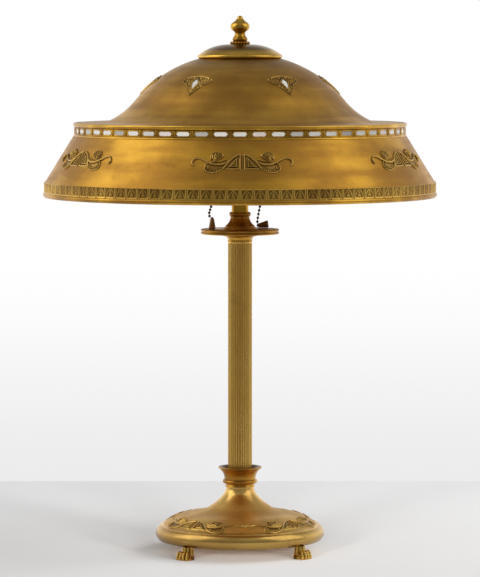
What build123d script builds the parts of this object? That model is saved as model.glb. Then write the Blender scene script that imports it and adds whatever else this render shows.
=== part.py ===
from build123d import *
import math
import os

# A table lamp: a dome shade of gilt sheet metal with shell inlays, on a fluted column and a bell-shaped
# base with paw feet, lit by two pull-chain sockets under the shade.
# Millimetres, +Z up. The origin is on the lamp's axis at the surface that the feet stand on; -Y is the front.

# Clearances
SEAT_GAP = 0.05         # applied castings over the sheet that they are fixed to
SLIP = 0.3              # pieces that pass or turn without touching
THREAD_GAP = 0.05       # radial room in threads and push fits

# Paw feet and their screws
FOOT_COUNT = 4
FOOT_INSET = 7.0        # ankle's middle inside the base's edge
FOOT_HEIGHT = 14.5      # floor to the underside of the base rim
BASE_TURN = 4.0         # degrees that the feet are turned from square to the front
ANKLE_R = 5.4
ANKLE_FLARE = 1.6       # how much wider the ankle is where it meets the paw
PAW_LENGTH = 19.0
PAW_WIDTH = 16.0
PAW_HEIGHT = 9.4
PAW_FORWARD = 2.5       # paw's middle in front of the ankle
TOE_COUNT = 4
TOE_R = 3.2
TOE_LENGTH = 13.0
TOE_PITCH = 4.4
TOE_SPLAY = 7.0         # degrees from one toe to the next
TOE_DROOP = 8.0         # degrees that the toes point down
TOE_SWEEP = 0.9         # how far the outer toes stand back
FOOT_SCREW_R = 2.0
FOOT_SCREW_BITE = 9.0   # thread in the base rim
FOOT_SCREW_HEAD_R = 3.6
FOOT_SCREW_HEAD = 2.2
FOOT_SCREW_SINK = 1.5   # head below the sole

# Base casting
BASE_R = 96.0
BASE_HEIGHT = 60.5      # underside of the rim to the top of the neck
BASE_RIM_HEIGHT = 15.6
BASE_RIM_FOOT = 4.0     # flat underside of the rim, inside the base's edge
BASE_RIM_TOP = 4.2
BASE_STEP_INSET = 5.1
BASE_STEP_HEIGHT = 1.3
BASE_STEP_WIDTH = 2.0
BASE_SLOPE_BULGE = 3.8
BASE_SHOULDER_INSET = 52.0
BASE_SHOULDER_RISE = 15.2   # step ring to the shoulder
BASE_NECK_R = 15.85
BELL_SHARES = ((0.524, 0.271), (0.204, 0.528))     # points of the bell, as shares of its width and rise
BASE_MOUTH_INSET = 15.0 # opening underneath, inside the base's edge
BASE_BOSS_HEIGHT = 29.0
BASE_BOSS_R = 22.0
BASE_CAVITY_SIDE = 9.0  # upright wall at the mouth
BASE_CAVITY_KNEE = 24.0 # knee of the hollow, inside the base's edge and above the mouth
BASE_CAVITY_RISE = 20.0
BASE_SCROLL_COUNT = 4
BASE_SCROLL_INSET = 17.0    # ring of scrolls, inside the base's edge
BASE_SCROLL_WIDTH = 112.0
BASE_SCROLL_SQUASH = 0.74   # scrolls' height on the base against their width
BASE_SCROLL_RELIEF = 1.1
BASE_SCROLL_ROOT = 0.6      # relief's root in the casting

# Scroll motif of the base and of the skirt's castings
SCROLL_UNITS = 112      # drawn units across the motif
TENDRIL_WIDTH = 2.7

# Base collar
COLLAR_HEIGHT = 22.4
COLLAR_FLOOR = 11.0
COLLAR_LIP_R = 24.7
COLLAR_LIP_EDGE = 1.4
COLLAR_COVE_R = 17.6
COLLAR_RING_R = 19.8
COLLAR_RING_HEIGHT = 5.0
COLLAR_FOOT_R = 16.8
COLLAR_FOOT_HEIGHT = 3.4

# Column
COLUMN_R = 13.64
COLUMN_WALL = 2.8
COLUMN_LENGTH = 268.2
FLUTE_COUNT = 30
FLUTE_R = 1.1
FLUTE_DEPTH = 0.75
FLUTE_MARGIN = 5.0      # plain stretch at the column's top
FLUTE_FOOT = 7.0        # plain stretch inside the collar

# Capital, tray disc, neck and stem
CAPITAL_HEIGHT = 7.8
CAPITAL_R = 19.4
CAPITAL_BEAD = 1.3
DISC_R = 44.5
DISC_HEIGHT = 6.6
DISC_RIM = 2.4          # height of each of the two rims
DISC_GROOVE = 1.1       # depth of the groove between them
NECK_R = 18.6
NECK_HEIGHT = 14.4
NECK_STEP = 1.7
NECK_TOP_R = 10.8
NECK_COLLAR_R = 12.25
NECK_COLLAR_HEIGHT = 4.7
STEM_R = 9.5
STEM_WALL = 1.2
STEM_LENGTH = 49.0

# Centre rod, its fixings under the base, and the riser
ROD_R = 5.0
ROD_BORE_R = 3.2
ROD_BELOW = 16.0        # rod below the base's boss
WASHER_R = 17.0
WASHER_THICK = 2.0
NUT_WIDTH = 16.0
NUT_HEIGHT = 6.0
BUSHING_R = 7.0
BUSHING_HEIGHT = 7.0
BUSHING_SKIN = 2.5
RISER_LENGTH = 116.3    # cluster's middle to the shade wheel's top
RISER_SPARE = 5.6       # rod above the wheel
STUD_R = 3.175
STUD_LENGTH = 24.0

# Cluster and sockets; distances along a socket are from the lamp's axis
CLUSTER_R = 13.0
CLUSTER_HEIGHT = 26.0
CLUSTER_END_R = 10.5
CLUSTER_TURN = 0.0
BOSS_R = 8.0
SOCKET_START = 14.5
NIPPLE_R = 5.0
NIPPLE_BORE_R = 3.6
NIPPLE_REACH = 4.0      # nipple inside the socket cap
SOCKET_CAP_R = 17.2
SOCKET_CAP_LENGTH = 14.0
SOCKET_CAP_BACK_R = 8.5
SOCKET_SHEET = 0.9
SOCKET_SHELL_LENGTH = 39.0
SOCKET_SHELL_START = 22.0
SOCKET_BODY_START = 25.0
SOCKET_BODY_LENGTH = 17.0
LINER_WALL = 0.6
SCREW_SHELL_R = 13.9
SCREW_SHELL_WALL = 0.5
SCREW_SHELL_LENGTH = 20.0
CONTACT_R = 3.0
CONTACT_HEIGHT = 2.4
GUIDE_AT = 33.5         # chain guide's place along the socket
GUIDE_R = 3.2
GUIDE_BORE_R = 2.1
GUIDE_LENGTH = 9.0
GUIDE_MOUTH_R = 4.2

# Bulbs
BULB_BASE_LENGTH = 23.0
BULB_BASE_WALL = 0.6
BULB_TIP_R = 4.5
BULB_GLASS_R = 28.0
BULB_LENGTH = 96.0
BULB_GLASS_WALL = 0.9
BULB_NECK_IN = 9.0      # glass inside the base

# Pull chains
CHAIN_BEAD_R = 1.6
CHAIN_PITCH = 4.35
CHAIN_WIRE_R = 0.45
PULL_LENGTH = 12.0
PULL_R = 4.0
PULL_TIP_R = 2.1
PULL_LIFT = 0.3         # pulls above the disc
CHAIN_BEND = 10.9       # straight fall below the guide
LEFT_PULL_SHARE = (-0.708, -0.27)   # places of the pulls' tips, as shares of the disc's radius
RIGHT_PULL_SHARE = (0.461, 0.629)

# Shade wheel
WHEEL_R = 42.5
WHEEL_RING = 6.0
WHEEL_THICK = 3.0
WHEEL_HUB_R = 10.0
WHEEL_HUB_HEIGHT = 4.0
WHEEL_ARMS = 3
WHEEL_ARM_WIDTH = 6.0
LOCK_NUT_WIDTH = 14.0
LOCK_NUT_HEIGHT = 4.0

# Shade sheet
SHEET = 1.0
DOME_MOUTH_R = 37.0
DOME_FLANGE_R = 43.0
DOME_DROP = 73.3        # top flange to the shelf
DOME_HIP_SHARE = 0.514  # hip's radius, from the flange to the waist
DOME_HIP_DROP = 16.0
DOME_WAIST_SHARE = 0.641    # waist's and foot's radii in the shelf's
DOME_WAIST_DROP = 47.8
DOME_FOOT_SHARE = 0.817
GALLERY_WALL = 2.0
GALLERY_HEIGHT = 15.3
CORNICE_PROUD = 1.6
CORNICE_HEIGHT = 3.6
CORNICE_LIP = 0.2       # cornice above the shelf
LEDGE_WIDTH = 4.0
LEDGE_THICK = 1.4
FOOT_BEAD_PROUD = 1.3
FOOT_BEAD_HEIGHT = 2.4
WINDOW_COUNT = 56
WINDOW_SPACING = 5.5    # wall between two windows
WINDOW_HEIGHT = 5.3
WINDOW_POINT = 2.0      # length of each pointed end
FRAME_WIDTH = 0.9       # raised frame round each window
FRAME_PROUD = 0.4
RIB_WIDTH = 1.0         # pair of ribs between two windows
RIB_PITCH = 1.7
RIB_PROUD = 0.5
INLAY_THICK = 0.9
INLAY_RECESS = 0.7
INLAY_GAP = 0.1
SKIRT_DROP = 51.6
SKIRT_FLARE = 31.9      # how much wider the skirt's foot is than its top
SKIRT_INSET = 1.3       # skirt's foot inside the rim band's face
RIM_R = 221.9           # rim band's face, from which the shade's other radii follow
RIM_WALL = 2.5
RIM_HEIGHT = 11.8
LEAF_COUNT = 96
LEAF_BAR = 2.2          # upright bar between two leaf panels
LEAF_BORDER = 1.2       # rim above and below the panels
LEAF_DEPTH = 0.6
BEAD_R = 3.0
BEAD_INSET = 1.9        # bead's middle inside the rim band's face
BEAD_SEAT = 0.5         # flat on top of the bead, below its crown

# Heat cap, washer and finial
CAP_R = 48.0
CAP_RISE = 15.2         # dome flange to the cap's top
CAP_TOP_R = 12.5
CAP_EDGE_INSET = 1.4    # shoulder of the cap's edge, inside its widest
CAP_EDGE_DROP = 11.6    # cap's top to the shoulder of its edge
WASHER_TOP_R = 11.4
FINIAL_WASHER_HEIGHT = 3.1
SCALLOP_COUNT = 16
SCALLOP_R = 1.0
FINIAL_HEIGHT = 29.4
FINIAL_RING_R = 8.5
FINIAL_RING_HEIGHT = 5.2
FINIAL_NECK_R = 5.8
FINIAL_BULB_R = 10.85
FINIAL_BULB_AT = 16.7
FINIAL_NECK_AT = 8.0
FINIAL_TIP_R = 1.4

# Applied castings on the shade
SCROLL_COUNT = 6
SCROLL_TURN = 0.7       # degrees that the castings are turned from the front
SCROLL_ABOVE = 2.1      # above the middle of the skirt
SCROLL_GROUND = 0.7     # thickness of the sunk ground
SCROLL_RELIEF = 1.8     # thickness of the raised work
SCROLL_WIDTH = 112.0
SHIELD_COUNT = 6
SHIELD_PLACE = 0.72     # share of the dome's crown, from its top, where a shield's middle lies
SHIELD_THICK = 1.7
SHIELD_INLAY_THICK = 1.1
SHIELD_HALF = 19.5
SHIELD_WING = 6.8       # wing's point above the middle
SHIELD_TOP = 16.0
SHIELD_TIP = 16.0
LOZENGE_HALF = 4.0
LOZENGE_SIDE = 3.4      # lozenge's corners, top and tip from the shield's middle
LOZENGE_TOP = 9.2
LOZENGE_TIP = 8.4

# Radii, each from the piece that it meets
foot_reach = BASE_R - FOOT_INSET
base_rim_foot_r = BASE_R - BASE_RIM_FOOT
base_rim_top_r = BASE_R - BASE_RIM_TOP
base_step_r = BASE_R - BASE_STEP_INSET
base_shoulder_r = BASE_R - BASE_SHOULDER_INSET
base_mouth_r = BASE_R - BASE_MOUTH_INSET
bead_ring_r = RIM_R - BEAD_INSET
skirt_foot_r = RIM_R - SKIRT_INSET
skirt_top_r = skirt_foot_r - SKIRT_FLARE
gallery_r = skirt_top_r - CORNICE_PROUD
window_length = math.tau * gallery_r / WINDOW_COUNT - WINDOW_SPACING
shelf_r = gallery_r - GALLERY_WALL - SLIP
dome_foot_r = DOME_FOOT_SHARE * shelf_r
dome_waist_r = DOME_WAIST_SHARE * shelf_r
dome_hip_r = DOME_FLANGE_R + DOME_HIP_SHARE * (dome_waist_r - DOME_FLANGE_R)
cap_edge_r = CAP_R - CAP_EDGE_INSET

# Heights, each from the piece below it
base_top = FOOT_HEIGHT + BASE_HEIGHT
boss_z = base_top - BASE_BOSS_HEIGHT
column_z = base_top + COLLAR_FLOOR
capital_z = column_z + COLUMN_LENGTH
disc_z = capital_z + CAPITAL_HEIGHT
disc_top = disc_z + DISC_HEIGHT
stem_z = disc_top + NECK_HEIGHT
cluster_z = stem_z + STEM_LENGTH
socket_z = cluster_z + CLUSTER_HEIGHT / 2
wheel_top = socket_z + RISER_LENGTH
flange_top = wheel_top + SHEET
shelf_top = flange_top - DOME_DROP
gallery_top = shelf_top + CORNICE_LIP
gallery_z = gallery_top - GALLERY_HEIGHT
skirt_z = gallery_z - SKIRT_DROP
rim_z = skirt_z - RIM_HEIGHT
bead_z = rim_z + BEAD_SEAT - BEAD_R
cap_top = flange_top + CAP_RISE
finial_z = cap_top + FINIAL_WASHER_HEIGHT
rod_hole_r = ROD_R + SLIP


def turned(*edges):
    """Solid turned about the Z axis from a closed outline of (radius, height) edges."""
    return revolve(Plane.XZ * make_face(edges), Axis.Z)


def turned_points(*points):
    """Solid turned about the Z axis from a closed polygon of (radius, height) points."""
    return turned(Polyline(*points, close=True))


def tube(outer_r, inner_r, z, height):
    """Upright tube about the Z axis."""
    return turned_points((inner_r, z), (outer_r, z), (outer_r, z + height), (inner_r, z + height))


def ring_of(shape, count, turn=0.0):
    """Copies of a shape spread evenly about the Z axis."""
    return [Rot(0, 0, turn + 360 * i / count) * shape for i in range(count)]


def hex_nut(width, height, hole_r, z):
    """Hexagon nut about the Z axis, its lower face at z."""
    outline = RegularPolygon(width / 2, 6, major_radius=False) - Circle(hole_r)
    return extrude(Pos(0, 0, z) * outline, height)


def round_bar(length, radius):
    """Round-ended bar along X."""
    reach = length / 2 - radius
    outline = [
        CenterArc((reach, 0), radius, 0, 90),
        Line((reach, radius), (-reach, radius)),
        CenterArc((-reach, 0), radius, 90, 90),
        Line((-reach - radius, 0), (reach + radius, 0)),
    ]
    return revolve(make_face(outline), Axis.X)


def save(shape, node):
    """Write one piece, or one group of like pieces, to its own file."""
    group = Compound(children=list(shape)) if isinstance(shape, list) else shape
    export_step(group, f"parts/{node}.step")


os.makedirs("parts", exist_ok=True)


# Paw feet: an ankle over a pad with four splayed toes, bored for a screw from the sole
def paw_foot():
    paw_z = PAW_HEIGHT - PAW_WIDTH / 2
    pad = Pos(PAW_FORWARD, 0, paw_z) * round_bar(PAW_LENGTH, PAW_WIDTH / 2)
    ankle_z = PAW_HEIGHT / 2
    ankle = Cone(ANKLE_R + ANKLE_FLARE, ANKLE_R, FOOT_HEIGHT - ankle_z)
    foot = pad + Pos(0, 0, (ankle_z + FOOT_HEIGHT) / 2) * ankle
    toe_x = PAW_FORWARD + PAW_LENGTH / 2 - TOE_LENGTH / 3
    for i in range(TOE_COUNT):
        step = i - (TOE_COUNT - 1) / 2
        toe = Rot(0, TOE_DROOP, step * TOE_SPLAY) * round_bar(TOE_LENGTH, TOE_R)
        foot += Pos(toe_x - TOE_SWEEP * step * step, step * TOE_PITCH, TOE_R) * toe
    foot = split(foot, Plane.XY, keep=Keep.TOP)
    shank = Cylinder(FOOT_SCREW_R + THREAD_GAP, 2 * FOOT_HEIGHT)
    sink = FOOT_SCREW_SINK + FOOT_SCREW_HEAD
    head = Pos(0, 0, sink / 2) * Cylinder(FOOT_SCREW_HEAD_R + THREAD_GAP, sink)
    return foot - shank - head


def foot_screw():
    head_top = FOOT_SCREW_SINK + FOOT_SCREW_HEAD
    shank_top = FOOT_HEIGHT + FOOT_SCREW_BITE
    return turned_points(
        (0, FOOT_SCREW_SINK), (FOOT_SCREW_HEAD_R, FOOT_SCREW_SINK), (FOOT_SCREW_HEAD_R, head_top),
        (FOOT_SCREW_R, head_top), (FOOT_SCREW_R, shank_top), (0, shank_top)
    )


foot_places = [
    Rot(0, 0, -90 + BASE_TURN + 45 + 360 * i / FOOT_COUNT) * Pos(foot_reach, 0, 0) for i in range(FOOT_COUNT)
]
foot = paw_foot()
for number, place in enumerate(foot_places, start=1):
    save(place * foot, f"paw_foot_{number}")
save([place * foot_screw() for place in foot_places], "foot_screws")


# Scroll motif: a fret in a gable, a crescent, a leaf and a tendril on each side
def straight(width):
    """Places the scroll motif's drawn units on a flat face, at a width."""
    unit = width / SCROLL_UNITS
    return lambda u, v: Vector(u * unit, v * unit)


def bent(width, radius, squash):
    """Places the motif's drawn units round a circle, with its top inwards and its middle at the front."""
    unit = width / SCROLL_UNITS

    def at(u, v):
        turn = u * unit / radius
        reach = radius - v * unit * squash
        return Vector(reach * math.sin(turn), -reach * math.cos(turn))

    return at


def scroll_half(at, side):
    """Outlines of the ground and of the raised work in one half of the scroll motif."""
    def place(*points):
        return [at(side * u, v) for u, v in points]

    ground_points = place((21.9, -7.7), (18.0, -9.0), (9.0, -9.0), (0, -9.0), (0, 10.4), (3.8, 10.4))
    brow = Spline(*place((3.8, 10.4), (9.2, 7.6), (14.0, 3.4), (21.9, -7.7)))
    ground = make_face([Polyline(*ground_points), brow])
    window = Polygon(*place((4.6, 7.2), (4.6, -6.2), (15.6, -6.2)), align=None)
    fret = Polygon(*place((6.6, 1.8), (6.6, -4.4), (11.6, -4.4)), align=None)
    slot = Polygon(*place((-1, 9.4), (1.4, 9.4), (1.4, -8.0), (-1, -8.0)), align=None)
    crescent = make_face([
        Spline(*place((19.5, -5.6), (25.4, -11.4), (33.0, -13.4), (40.2, -10.0), (42.6, -4.5))),
        Spline(*place((42.6, -4.5), (38.8, -8.2), (33.0, -9.4), (27.0, -7.6), (21.9, -4.2))),
        Line(*place((21.9, -4.2), (19.5, -5.6))),
    ])
    leaf = make_face([
        Spline(*place((18.8, 9.1), (22.6, 12.4), (28.5, 13.6), (34.9, 6.5), (30.8, -3.0))),
        Spline(*place((30.8, -3.0), (28.4, 3.4), (23.6, 6.4), (18.8, 9.1))),
    ])
    stalk = Spline(*place(
        (15.5, 1.2), (24.0, -2.4), (36.1, -1.4), (45.6, 6.0), (51.6, 6.2), (54.6, 2.6), (53.4, -2.6)
    ))
    raised = ground - window + fret + crescent + leaf + trace(stalk, TENDRIL_WIDTH)
    return ground, raised - slot


def scroll_sketches(at):
    """Outlines of the sunk ground and of the raised work, with both halves."""
    right_ground, right_raised = scroll_half(at, 1)
    left_ground, left_raised = scroll_half(at, -1)
    return right_ground + left_ground, right_raised + left_raised


# Base: a bell-shaped casting, hollow underneath, with a ring of scrolls, a step ring and a bullnose rim
def base_scroll(slope):
    """One scroll in low relief on the slope of the base, at the front."""
    middle = slope.arc_center
    low, high = 0.02, 0.5
    between = (low + high) / 2

    def over(share, distance):
        return middle + (slope @ share - middle).normalized() * (slope.radius + distance)

    layer = turned(
        ThreePointArc(*(over(share, -BASE_SCROLL_ROOT) for share in (low, between, high))),
        Line(over(high, -BASE_SCROLL_ROOT), over(high, BASE_SCROLL_RELIEF)),
        ThreePointArc(*(over(share, BASE_SCROLL_RELIEF) for share in (high, between, low))),
        Line(over(low, BASE_SCROLL_RELIEF), over(low, -BASE_SCROLL_ROOT)),
    )
    ring = bent(BASE_SCROLL_WIDTH, BASE_R - BASE_SCROLL_INSET, BASE_SCROLL_SQUASH)
    raised = scroll_sketches(ring)[1]
    return extrude(Pos(0, 0, FOOT_HEIGHT) * raised, BASE_HEIGHT) & layer


def base_casting():
    rim_top = FOOT_HEIGHT + BASE_RIM_HEIGHT
    step_top = rim_top + BASE_STEP_HEIGHT
    slope_start = (base_step_r - BASE_STEP_WIDTH, step_top)
    shoulder = (base_shoulder_r, step_top + BASE_SHOULDER_RISE)
    slope = SagittaArc(slope_start, shoulder, -BASE_SLOPE_BULGE)
    rise = base_top - shoulder[1]
    throat = base_shoulder_r - BASE_NECK_R
    bell_points = [(BASE_NECK_R + throat * out, shoulder[1] + rise * up) for out, up in BELL_SHARES]
    bell = Spline(shoulder, *bell_points, (BASE_NECK_R, base_top), tangents=[slope % 1, (0, 1)])
    cavity_top = FOOT_HEIGHT + BASE_CAVITY_SIDE
    casting = turned(
        Polyline(
            (BASE_NECK_R, base_top), (rod_hole_r, base_top), (rod_hole_r, boss_z), (BASE_BOSS_R, boss_z),
            (BASE_R - BASE_CAVITY_KNEE, FOOT_HEIGHT + BASE_CAVITY_RISE),
            (base_mouth_r, cavity_top), (base_mouth_r, FOOT_HEIGHT), (base_rim_foot_r, FOOT_HEIGHT),
        ),
        ThreePointArc(
            (base_rim_foot_r, FOOT_HEIGHT),
            (BASE_R, FOOT_HEIGHT + BASE_RIM_HEIGHT / 2),
            (base_rim_top_r, rim_top),
        ),
        Polyline((base_rim_top_r, rim_top), (base_step_r, rim_top), (base_step_r, step_top), slope_start),
        slope,
        bell,
    )
    casting += ring_of(base_scroll(slope), BASE_SCROLL_COUNT, BASE_TURN + 180 / BASE_SCROLL_COUNT)
    hole_depth = FOOT_SCREW_BITE + SLIP
    hole = Pos(0, 0, FOOT_HEIGHT + hole_depth / 2) * Cylinder(FOOT_SCREW_R + THREAD_GAP, hole_depth)
    return casting - [place * hole for place in foot_places]


save(base_casting(), "base_casting")


# Base collar: a turned cup whose flared lip stands round the foot of the column
def base_collar():
    cup_r = COLUMN_R + SLIP
    ring_z = base_top + COLLAR_FOOT_HEIGHT
    ring_top = ring_z + COLLAR_RING_HEIGHT
    lip_z = base_top + COLLAR_HEIGHT
    return turned(
        Polyline(
            (COLLAR_COVE_R, ring_z), (BASE_NECK_R, ring_z), (COLLAR_FOOT_R, base_top), (rod_hole_r, base_top),
            (rod_hole_r, column_z), (cup_r, column_z),
        ),
        TangentArc((cup_r, column_z), (COLLAR_LIP_R - COLLAR_LIP_EDGE, lip_z), tangent=(0, 1)),
        Polyline(
            (COLLAR_LIP_R - COLLAR_LIP_EDGE, lip_z),
            (COLLAR_LIP_R, lip_z),
            (COLLAR_LIP_R, lip_z - COLLAR_LIP_EDGE),
        ),
        TangentArc((COLLAR_COVE_R, ring_top), (COLLAR_LIP_R, lip_z - COLLAR_LIP_EDGE), tangent=(0, 1)),
        ThreePointArc(
            (COLLAR_COVE_R, ring_z), (COLLAR_RING_R, (ring_z + ring_top) / 2), (COLLAR_COVE_R, ring_top)
        ),
    )


save(base_collar(), "base_collar")


# Column: a tube with narrow round-ended flutes
def column_tube():
    shaft = tube(COLUMN_R, COLUMN_R - COLUMN_WALL, column_z, COLUMN_LENGTH)
    low = column_z + FLUTE_FOOT
    high = capital_z - FLUTE_MARGIN
    axis_r = COLUMN_R + FLUTE_R - FLUTE_DEPTH
    cutter = Pos(axis_r, 0, (low + high) / 2) * Cylinder(FLUTE_R, high - low)
    cutter += Pos(axis_r, 0, low) * Sphere(FLUTE_R)
    cutter += Pos(axis_r, 0, high) * Sphere(FLUTE_R)
    return shaft - ring_of(cutter, FLUTE_COUNT, -90)


save(column_tube(), "column_tube")


# Capital, tray disc, neck, neck collar and stem, threaded on the centre rod one above the other
def column_capital():
    bead_top = capital_z + CAPITAL_BEAD
    bead_r = COLUMN_R + CAPITAL_BEAD / 2
    rim = disc_z - CAPITAL_BEAD
    return turned(
        Polyline(
            (CAPITAL_R, rim), (CAPITAL_R, disc_z), (rod_hole_r, disc_z), (rod_hole_r, capital_z),
            (bead_r, capital_z), (bead_r, bead_top), (COLUMN_R, bead_top),
        ),
        TangentArc((COLUMN_R, bead_top), (CAPITAL_R, rim), tangent=(0, 1)),
    )


def tray_disc():
    groove_r = DISC_R - DISC_GROOVE
    low = disc_top - 2 * DISC_RIM - (DISC_HEIGHT - 2 * DISC_RIM) / 2
    low_top = low + DISC_RIM
    high = disc_top - DISC_RIM
    return turned(
        Polyline(
            (groove_r, low), (CAPITAL_R, disc_z), (rod_hole_r, disc_z), (rod_hole_r, disc_top),
            (groove_r, disc_top),
        ),
        ThreePointArc((groove_r, low), (DISC_R, (low + low_top) / 2), (groove_r, low_top)),
        Line((groove_r, low_top), (groove_r, high)),
        ThreePointArc((groove_r, high), (DISC_R, (high + disc_top) / 2), (groove_r, disc_top)),
    )


def disc_neck():
    step_z = disc_top + NECK_STEP
    waist_r = NECK_R - NECK_STEP
    return turned(
        Polyline(
            (NECK_TOP_R, stem_z), (rod_hole_r, stem_z), (rod_hole_r, disc_top), (NECK_R, disc_top),
            (NECK_R, step_z), (waist_r, step_z), (waist_r, step_z + NECK_STEP),
        ),
        TangentArc((NECK_TOP_R, stem_z), (waist_r, step_z + NECK_STEP), tangent=(0, -1)),
    )


def neck_collar():
    inner_r = STEM_R + THREAD_GAP
    top = stem_z + NECK_COLLAR_HEIGHT
    edge_r = NECK_COLLAR_R - NECK_COLLAR_HEIGHT / 4
    return turned(
        Polyline((edge_r, top), (inner_r, top), (inner_r, stem_z), (edge_r, stem_z)),
        ThreePointArc((edge_r, stem_z), (NECK_COLLAR_R, (stem_z + top) / 2), (edge_r, top)),
    )


save(column_capital(), "column_capital")
save(tray_disc(), "tray_disc")
save(disc_neck(), "disc_neck")
save(neck_collar(), "neck_collar")
save(tube(STEM_R, STEM_R - STEM_WALL, stem_z, STEM_LENGTH), "stem_tube")


# Centre rod with the washer, nut and lead bushing that close it under the base
rod_z = boss_z - ROD_BELOW
save(tube(ROD_R, ROD_BORE_R, rod_z, socket_z - NIPPLE_R - rod_z), "centre_rod")
save(tube(WASHER_R, ROD_R + SLIP, boss_z - WASHER_THICK, WASHER_THICK), "base_washer")
save(hex_nut(NUT_WIDTH, NUT_HEIGHT, ROD_R + THREAD_GAP, boss_z - WASHER_THICK - NUT_HEIGHT), "base_nut")


def lead_bushing():
    low = rod_z - BUSHING_SKIN
    return turned_points(
        (ROD_BORE_R, low), (BUSHING_R, low), (BUSHING_R, low + BUSHING_HEIGHT),
        (ROD_R + THREAD_GAP, low + BUSHING_HEIGHT), (ROD_R + THREAD_GAP, rod_z), (ROD_BORE_R, rod_z)
    )


save(lead_bushing(), "lead_bushing")


# Cluster: a turned body with a boss on each side for the socket nipples
nipple_start = ROD_R + SLIP


def cluster_body():
    top = cluster_z + CLUSTER_HEIGHT
    body = turned(
        Polyline((CLUSTER_END_R, top), (0, top), (0, cluster_z), (CLUSTER_END_R, cluster_z)),
        ThreePointArc((CLUSTER_END_R, cluster_z), (CLUSTER_R, socket_z), (CLUSTER_END_R, top)),
    )
    across = Pos(0, 0, socket_z) * Rot(0, 0, CLUSTER_TURN) * Rot(0, 90, 0)
    body += across * Cylinder(BOSS_R, 2 * SOCKET_START)
    bore_depth = SOCKET_START - nipple_start
    bore = Pos(0, 0, nipple_start + bore_depth / 2) * Cylinder(NIPPLE_R + THREAD_GAP, bore_depth)
    body -= [across * bore, across * Rot(180, 0, 0) * bore]
    body -= across * Cylinder(NIPPLE_BORE_R, 2 * SOCKET_START)
    return body - Pos(0, 0, socket_z) * Cylinder(ROD_R + THREAD_GAP, CLUSTER_HEIGHT)


save(cluster_body(), "cluster_body")


# Sockets and bulbs: made along Z from the lamp's axis, then laid on their sides
def socket_cap():
    start = SOCKET_START
    end = start + SOCKET_CAP_LENGTH
    inner_r = SOCKET_CAP_R - SOCKET_SHEET
    hole_r = NIPPLE_R + THREAD_GAP
    back = start + SOCKET_SHEET
    shoulder = SOCKET_SHELL_START
    return turned(
        Polyline(
            (SOCKET_CAP_R, shoulder), (SOCKET_CAP_R, end), (inner_r, end), (inner_r, shoulder),
        ),
        TangentArc((inner_r, shoulder), (SOCKET_CAP_BACK_R, back), tangent=(0, -1)),
        Polyline((SOCKET_CAP_BACK_R, back), (hole_r, back), (hole_r, start), (SOCKET_CAP_BACK_R, start)),
        TangentArc((SOCKET_CAP_R, shoulder), (SOCKET_CAP_BACK_R, start), tangent=(0, -1)),
    )


shell_r = SOCKET_CAP_R - SOCKET_SHEET - THREAD_GAP
liner_r = shell_r - SOCKET_SHEET - THREAD_GAP
body_r = liner_r - LINER_WALL - THREAD_GAP
body_end = SOCKET_BODY_START + SOCKET_BODY_LENGTH
shell_end = SOCKET_SHELL_START + SOCKET_SHELL_LENGTH
bulb_start = body_end + CONTACT_HEIGHT + SLIP
bulb_base_r = SCREW_SHELL_R - SCREW_SHELL_WALL - SLIP
bulb_base_end = bulb_start + BULB_BASE_LENGTH
guide_start = shell_r - SOCKET_SHEET
guide_mouth = guide_start + GUIDE_LENGTH


def across_guide(shape):
    """A shape made along Z, turned to stand across the socket at the chain guide."""
    return Pos(0, 0, GUIDE_AT) * Rot(-90, 0, 0) * shape


def socket_shell():
    shell = tube(shell_r, shell_r - SOCKET_SHEET, SOCKET_SHELL_START, SOCKET_SHELL_LENGTH)
    return shell - across_guide(Pos(0, 0, shell_r) * Cylinder(GUIDE_R + THREAD_GAP, shell_r))


def chain_guide():
    return across_guide(
        turned_points(
            (GUIDE_BORE_R, guide_start), (GUIDE_R, guide_start), (GUIDE_R, guide_mouth - GUIDE_R),
            (GUIDE_MOUTH_R, guide_mouth), (GUIDE_MOUTH_R - SOCKET_SHEET, guide_mouth),
            (GUIDE_BORE_R, guide_mouth - GUIDE_R),
        )
    )


def bulb_base():
    inner_r = bulb_base_r - BULB_BASE_WALL
    tip_z = bulb_start + BULB_TIP_R
    return turned_points(
        (0, bulb_start), (BULB_TIP_R, bulb_start), (bulb_base_r, tip_z), (bulb_base_r, bulb_base_end),
        (inner_r, bulb_base_end), (inner_r, bulb_base_end - BULB_NECK_IN), (0, bulb_base_end - BULB_NECK_IN)
    )


def bulb_glass():
    neck_r = bulb_base_r - BULB_BASE_WALL - THREAD_GAP
    neck_z = bulb_base_end - BULB_NECK_IN + THREAD_GAP
    globe_z = bulb_start + BULB_LENGTH - BULB_GLASS_R
    end = globe_z + BULB_GLASS_R
    inner_r = BULB_GLASS_R - BULB_GLASS_WALL
    neck_inner = neck_r - BULB_GLASS_WALL
    return turned(
        Polyline(
            (neck_inner, bulb_base_end), (neck_inner, neck_z), (neck_r, neck_z), (neck_r, bulb_base_end)
        ),
        Spline((neck_r, bulb_base_end), (BULB_GLASS_R, globe_z), tangents=[(0, 1), (0, 1)]),
        ThreePointArc(
            (BULB_GLASS_R, globe_z),
            (BULB_GLASS_R * math.sqrt(0.5), globe_z + BULB_GLASS_R * math.sqrt(0.5)),
            (0, end),
        ),
        Line((0, end), (0, end - BULB_GLASS_WALL)),
        ThreePointArc(
            (0, end - BULB_GLASS_WALL),
            (inner_r * math.sqrt(0.5), globe_z + inner_r * math.sqrt(0.5)),
            (inner_r, globe_z),
        ),
        Spline((neck_inner, bulb_base_end), (inner_r, globe_z), tangents=[(0, 1), (0, 1)]),
    )


def lamp_side(turn):
    """Place of a socket whose pieces are made along Z."""
    return Pos(0, 0, socket_z) * Rot(0, 0, turn) * Rot(0, 90, 0)


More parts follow.
